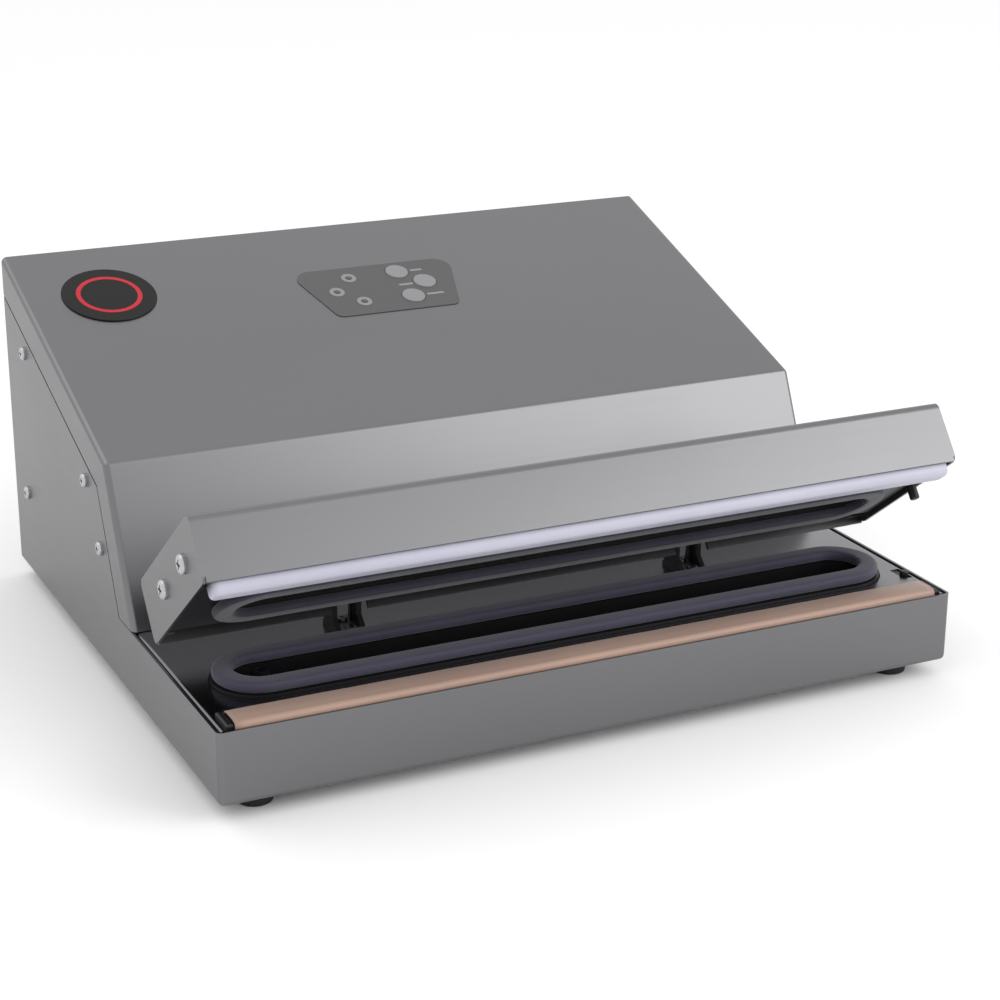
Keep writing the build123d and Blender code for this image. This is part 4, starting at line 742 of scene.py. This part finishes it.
class SEALER_OT_badge(bpy.types.Operator):
    """The round badge, with a plain ring in place of a mark"""

    bl_idname = "sealer.badge"
    bl_label = "Badge"

    def execute(self, context):
        dress(moulded("black polycarbonate", "#121211", "#171716", 0.4, 0.0006, 0.000006, 0.15), "badge")
        ink = moulded("red enamel ink", "#B01427", "#BC1A2E", 0.4, 0.0008, 0.000004, 0.25)
        inner, outer, sheet = 15.2 * MM, 17.6 * MM, 0.06 * MM
        low, high = corners_in(TOP, "badge")
        place = TOP @ Matrix.Translation(((low.x + high.x) / 2, (low.y + high.y) / 2, high.z))
        mesh = bmesh.new()
        profile = [(inner, -sheet), (outer, -sheet), (outer, sheet), (inner, sheet)]
        turned(mesh, profile, place, 96)
        add_piece("badge_ring", mesh, ink, "cabinet", smooth=False)
        return {"FINISHED"}


class SEALER_OT_feet(bpy.types.Operator):
    """Rubber feet"""

    bl_idname = "sealer.feet"
    bl_label = "Feet"

    def execute(self, context):
        rubber = moulded("black rubber", "#0E0E0F", "#171718", 0.6, 0.0012, 0.00005)
        dress(rubber, "pump_mounts", "vacuum_hoses")
        rounding = context.scene.sealer_soft.foot_rounding
        low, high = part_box("feet")
        radius, bore, recess, tread = 9.5 * MM, 2.3 * MM, 4.8 * MM, 3.5 * MM
        edge, taper, lip = 0.8 * MM, 1.0 * MM, 0.6 * MM
        sole = radius - taper
        profile = [(bore, high.z), *arc((radius - edge, high.z - edge), edge, 90, 0, 4)]
        profile += arc((sole - rounding, low.z + rounding), rounding, 0, -90, 6)
        profile += [(recess + lip, low.z), (recess, low.z + lip), (recess, tread), (bore, tread)]
        xs, ys = (low.x + radius, high.x - radius), (low.y + radius, high.y - radius)
        feet = repeated("rubber_feet", profile, [(x, y, 0) for x in xs for y in ys], rubber, Matrix())
        settle(feet, "cabinet", ["feet"])
        return {"FINISHED"}


class SEALER_OT_rear_fittings(bpy.types.Operator):
    """Mains inlet, fuse drawer and rocker switch"""

    bl_idname = "sealer.rear_fittings"
    bl_label = "Rear fittings"

    def execute(self, context):
        black = moulded("black polyamide", "#0C0C0D", "#161617", 0.4)
        dress(black, "inlet_socket", "fuse_drawer", "switch_frame")
        glossy = moulded("glossy rocker plastic", "#0A0A0B", "#101011", 0.2, 0.002, 0.000004)
        dress(glossy, "switch_rocker")
        return {"FINISHED"}


class SEALER_OT_works(bpy.types.Operator):
    """The pump, the transformer and the boards inside"""

    bl_idname = "sealer.works"
    bl_label = "Works"

    def execute(self, context):
        paint = painted("grey machine paint", "#6B6D70", "#77797C", 0.45)
        dress(paint, "pump_motor", "pump_bracket", "vent_valve")
        dress(laminated_steel("laminated steel", "#7A7A7D", "#4A4A4D", 0.0012), "transformer_core")
        dress(moulded("yellow coil tape", "#B8962E", "#C9A840", 0.4, 0.004), "transformer_coil")
        dress(bare_metal("cast aluminium", "#A8A9AC", "#8E9094", 0.5, 0.0012), "pump_head")
        mask = moulded("green solder mask", "#1D5A2E", "#246B38", 0.35, 0.0015)
        dress(mask, "keypad_board", "control_board")
        dress(moulded("black relay plastic", "#131315", "#1E1E21", 0.4), "board_parts", "motor_fan")
        dress(moulded("red silicone sleeve", "#8A1E1A", "#9C2A24", 0.5, 0.002), "heater_leads")
        return {"FINISHED"}


class SEALER_OT_stage(bpy.types.Operator):
    """Pale floor, soft studio light and the camera"""

    bl_idname = "sealer.stage"
    bl_label = "Stage"

    def execute(self, context):
        given = context.scene.sealer_stage
        self.floor()
        self.surround(given.sky)
        softbox_place, softbox_width = (1.23, -1.3, 0.95), 1.3
        fill_place, fill_aim, fill_width = (-0.7, 0.4, 0.9), Vector((-0.4, 0.0, 0.0)), 0.8
        self.lamp("front softbox", softbox_place, middle("cover"), softbox_width, given.key)
        self.lamp("left fill", fill_place, fill_aim, fill_width, given.fill)
        self.camera(given.lens)
        context.scene.view_settings.view_transform = "Standard"
        return {"FINISHED"}

    def floor(self):
        """A pale sheet under the feet."""
        reach = 8.0
        mesh = bmesh.new()
        bmesh.ops.create_grid(mesh, x_segments=1, y_segments=1, size=reach)
        data = bpy.data.meshes.new("floor")
        mesh.to_mesh(data)
        mesh.free()
        finish = {"Base Color": linear("#F6F6F6"), "Roughness": 0.9, "Specular IOR Level": 0.1}
        paper, _, _ = new_material("white paper", finish)
        data.materials.append(paper)
        ground = bpy.data.objects.new("floor", data)
        bpy.context.scene.collection.objects.link(ground)

    def surround(self, strength):
        """Even white light from all round."""
        world = bpy.data.worlds.new("studio")
        world.use_nodes = True
        tree = world.node_tree
        tree.nodes.clear()
        light = node(tree, "ShaderNodeBackground", {"Color": linear("#FFFFFF"), "Strength": strength})
        node(tree, "ShaderNodeOutputWorld", {"Surface": light.outputs["Background"]})
        bpy.context.scene.world = world

    def lamp(self, name, place, target, width, power):
        """A square softbox turned to a point."""
        data = bpy.data.lights.new(name, "AREA")
        data.size = width
        data.energy = power
        lamp = bpy.data.objects.new(name, data)
        lamp.location = place
        aim = target - Vector(place)
        lamp.rotation_euler = aim.to_track_quat("-Z", "Y").to_euler()
        bpy.context.scene.collection.objects.link(lamp)

    def camera(self, lens):
        """The view from the front left, a little above."""
        place = (-0.4777, -1.0377, 0.4730)
        azimuth, elevation, roll = radians(25.82), radians(19.49), radians(0.29)
        data = bpy.data.cameras.new("camera")
        data.lens = lens
        data.sensor_width = 36.0
        data.clip_start, data.clip_end = 0.05, 50.0
        view = bpy.data.objects.new("camera", data)
        level = cos(elevation)
        ahead = Vector((sin(azimuth) * level, cos(azimuth) * level, -sin(elevation)))
        turn = ahead.to_track_quat("-Z", "Y").to_matrix().to_4x4() @ Matrix.Rotation(roll, 4, "Z")
        view.matrix_world = Matrix.Translation(place) @ turn
        bpy.context.scene.collection.objects.link(view)
        bpy.context.scene.camera = view


class SEALER_PT_panel(bpy.types.Panel):
    """Lists the settings and the steps"""

    bl_idname = "SEALER_PT_panel"
    bl_label = "Vacuum Sealer"
    bl_space_type = "VIEW_3D"
    bl_region_type = "UI"
    bl_category = "Sealer"

    def draw(self, context):
        column = self.layout.column()
        for group in GROUPS:
            settings = getattr(context.scene, group)
            for name in settings.__annotations__:
                column.prop(settings, name)
        for step in STEPS:
            column.operator(step.bl_idname)


GROUPS = {"sealer_steel": SealerSteel, "sealer_soft": SealerSoft, "sealer_stage": SealerStage}
STEPS = (
    SEALER_OT_sheet_metal,
    SEALER_OT_fasteners,
    SEALER_OT_gaskets,
    SEALER_OT_seal_pad,
    SEALER_OT_seal_bar,
    SEALER_OT_trough,
    SEALER_OT_hinges,
    SEALER_OT_keypad,
    SEALER_OT_badge,
    SEALER_OT_feet,
    SEALER_OT_rear_fittings,
    SEALER_OT_works,
    SEALER_OT_stage,
)


def register():
    for kind in (*GROUPS.values(), *STEPS, SEALER_PT_panel):
        bpy.utils.register_class(kind)
    for name, kind in GROUPS.items():
        setattr(bpy.types.Scene, name, PointerProperty(type=kind))


def unregister():
    for name in GROUPS:
        delattr(bpy.types.Scene, name)
    for kind in (SEALER_PT_panel, *reversed(STEPS), *GROUPS.values()):
        bpy.utils.unregister_class(kind)


def main():
    register()
    for step in STEPS:
        family, name = step.bl_idname.split(".")
        getattr(getattr(bpy.ops, family), name)()


if __name__ == "__main__":
    main()
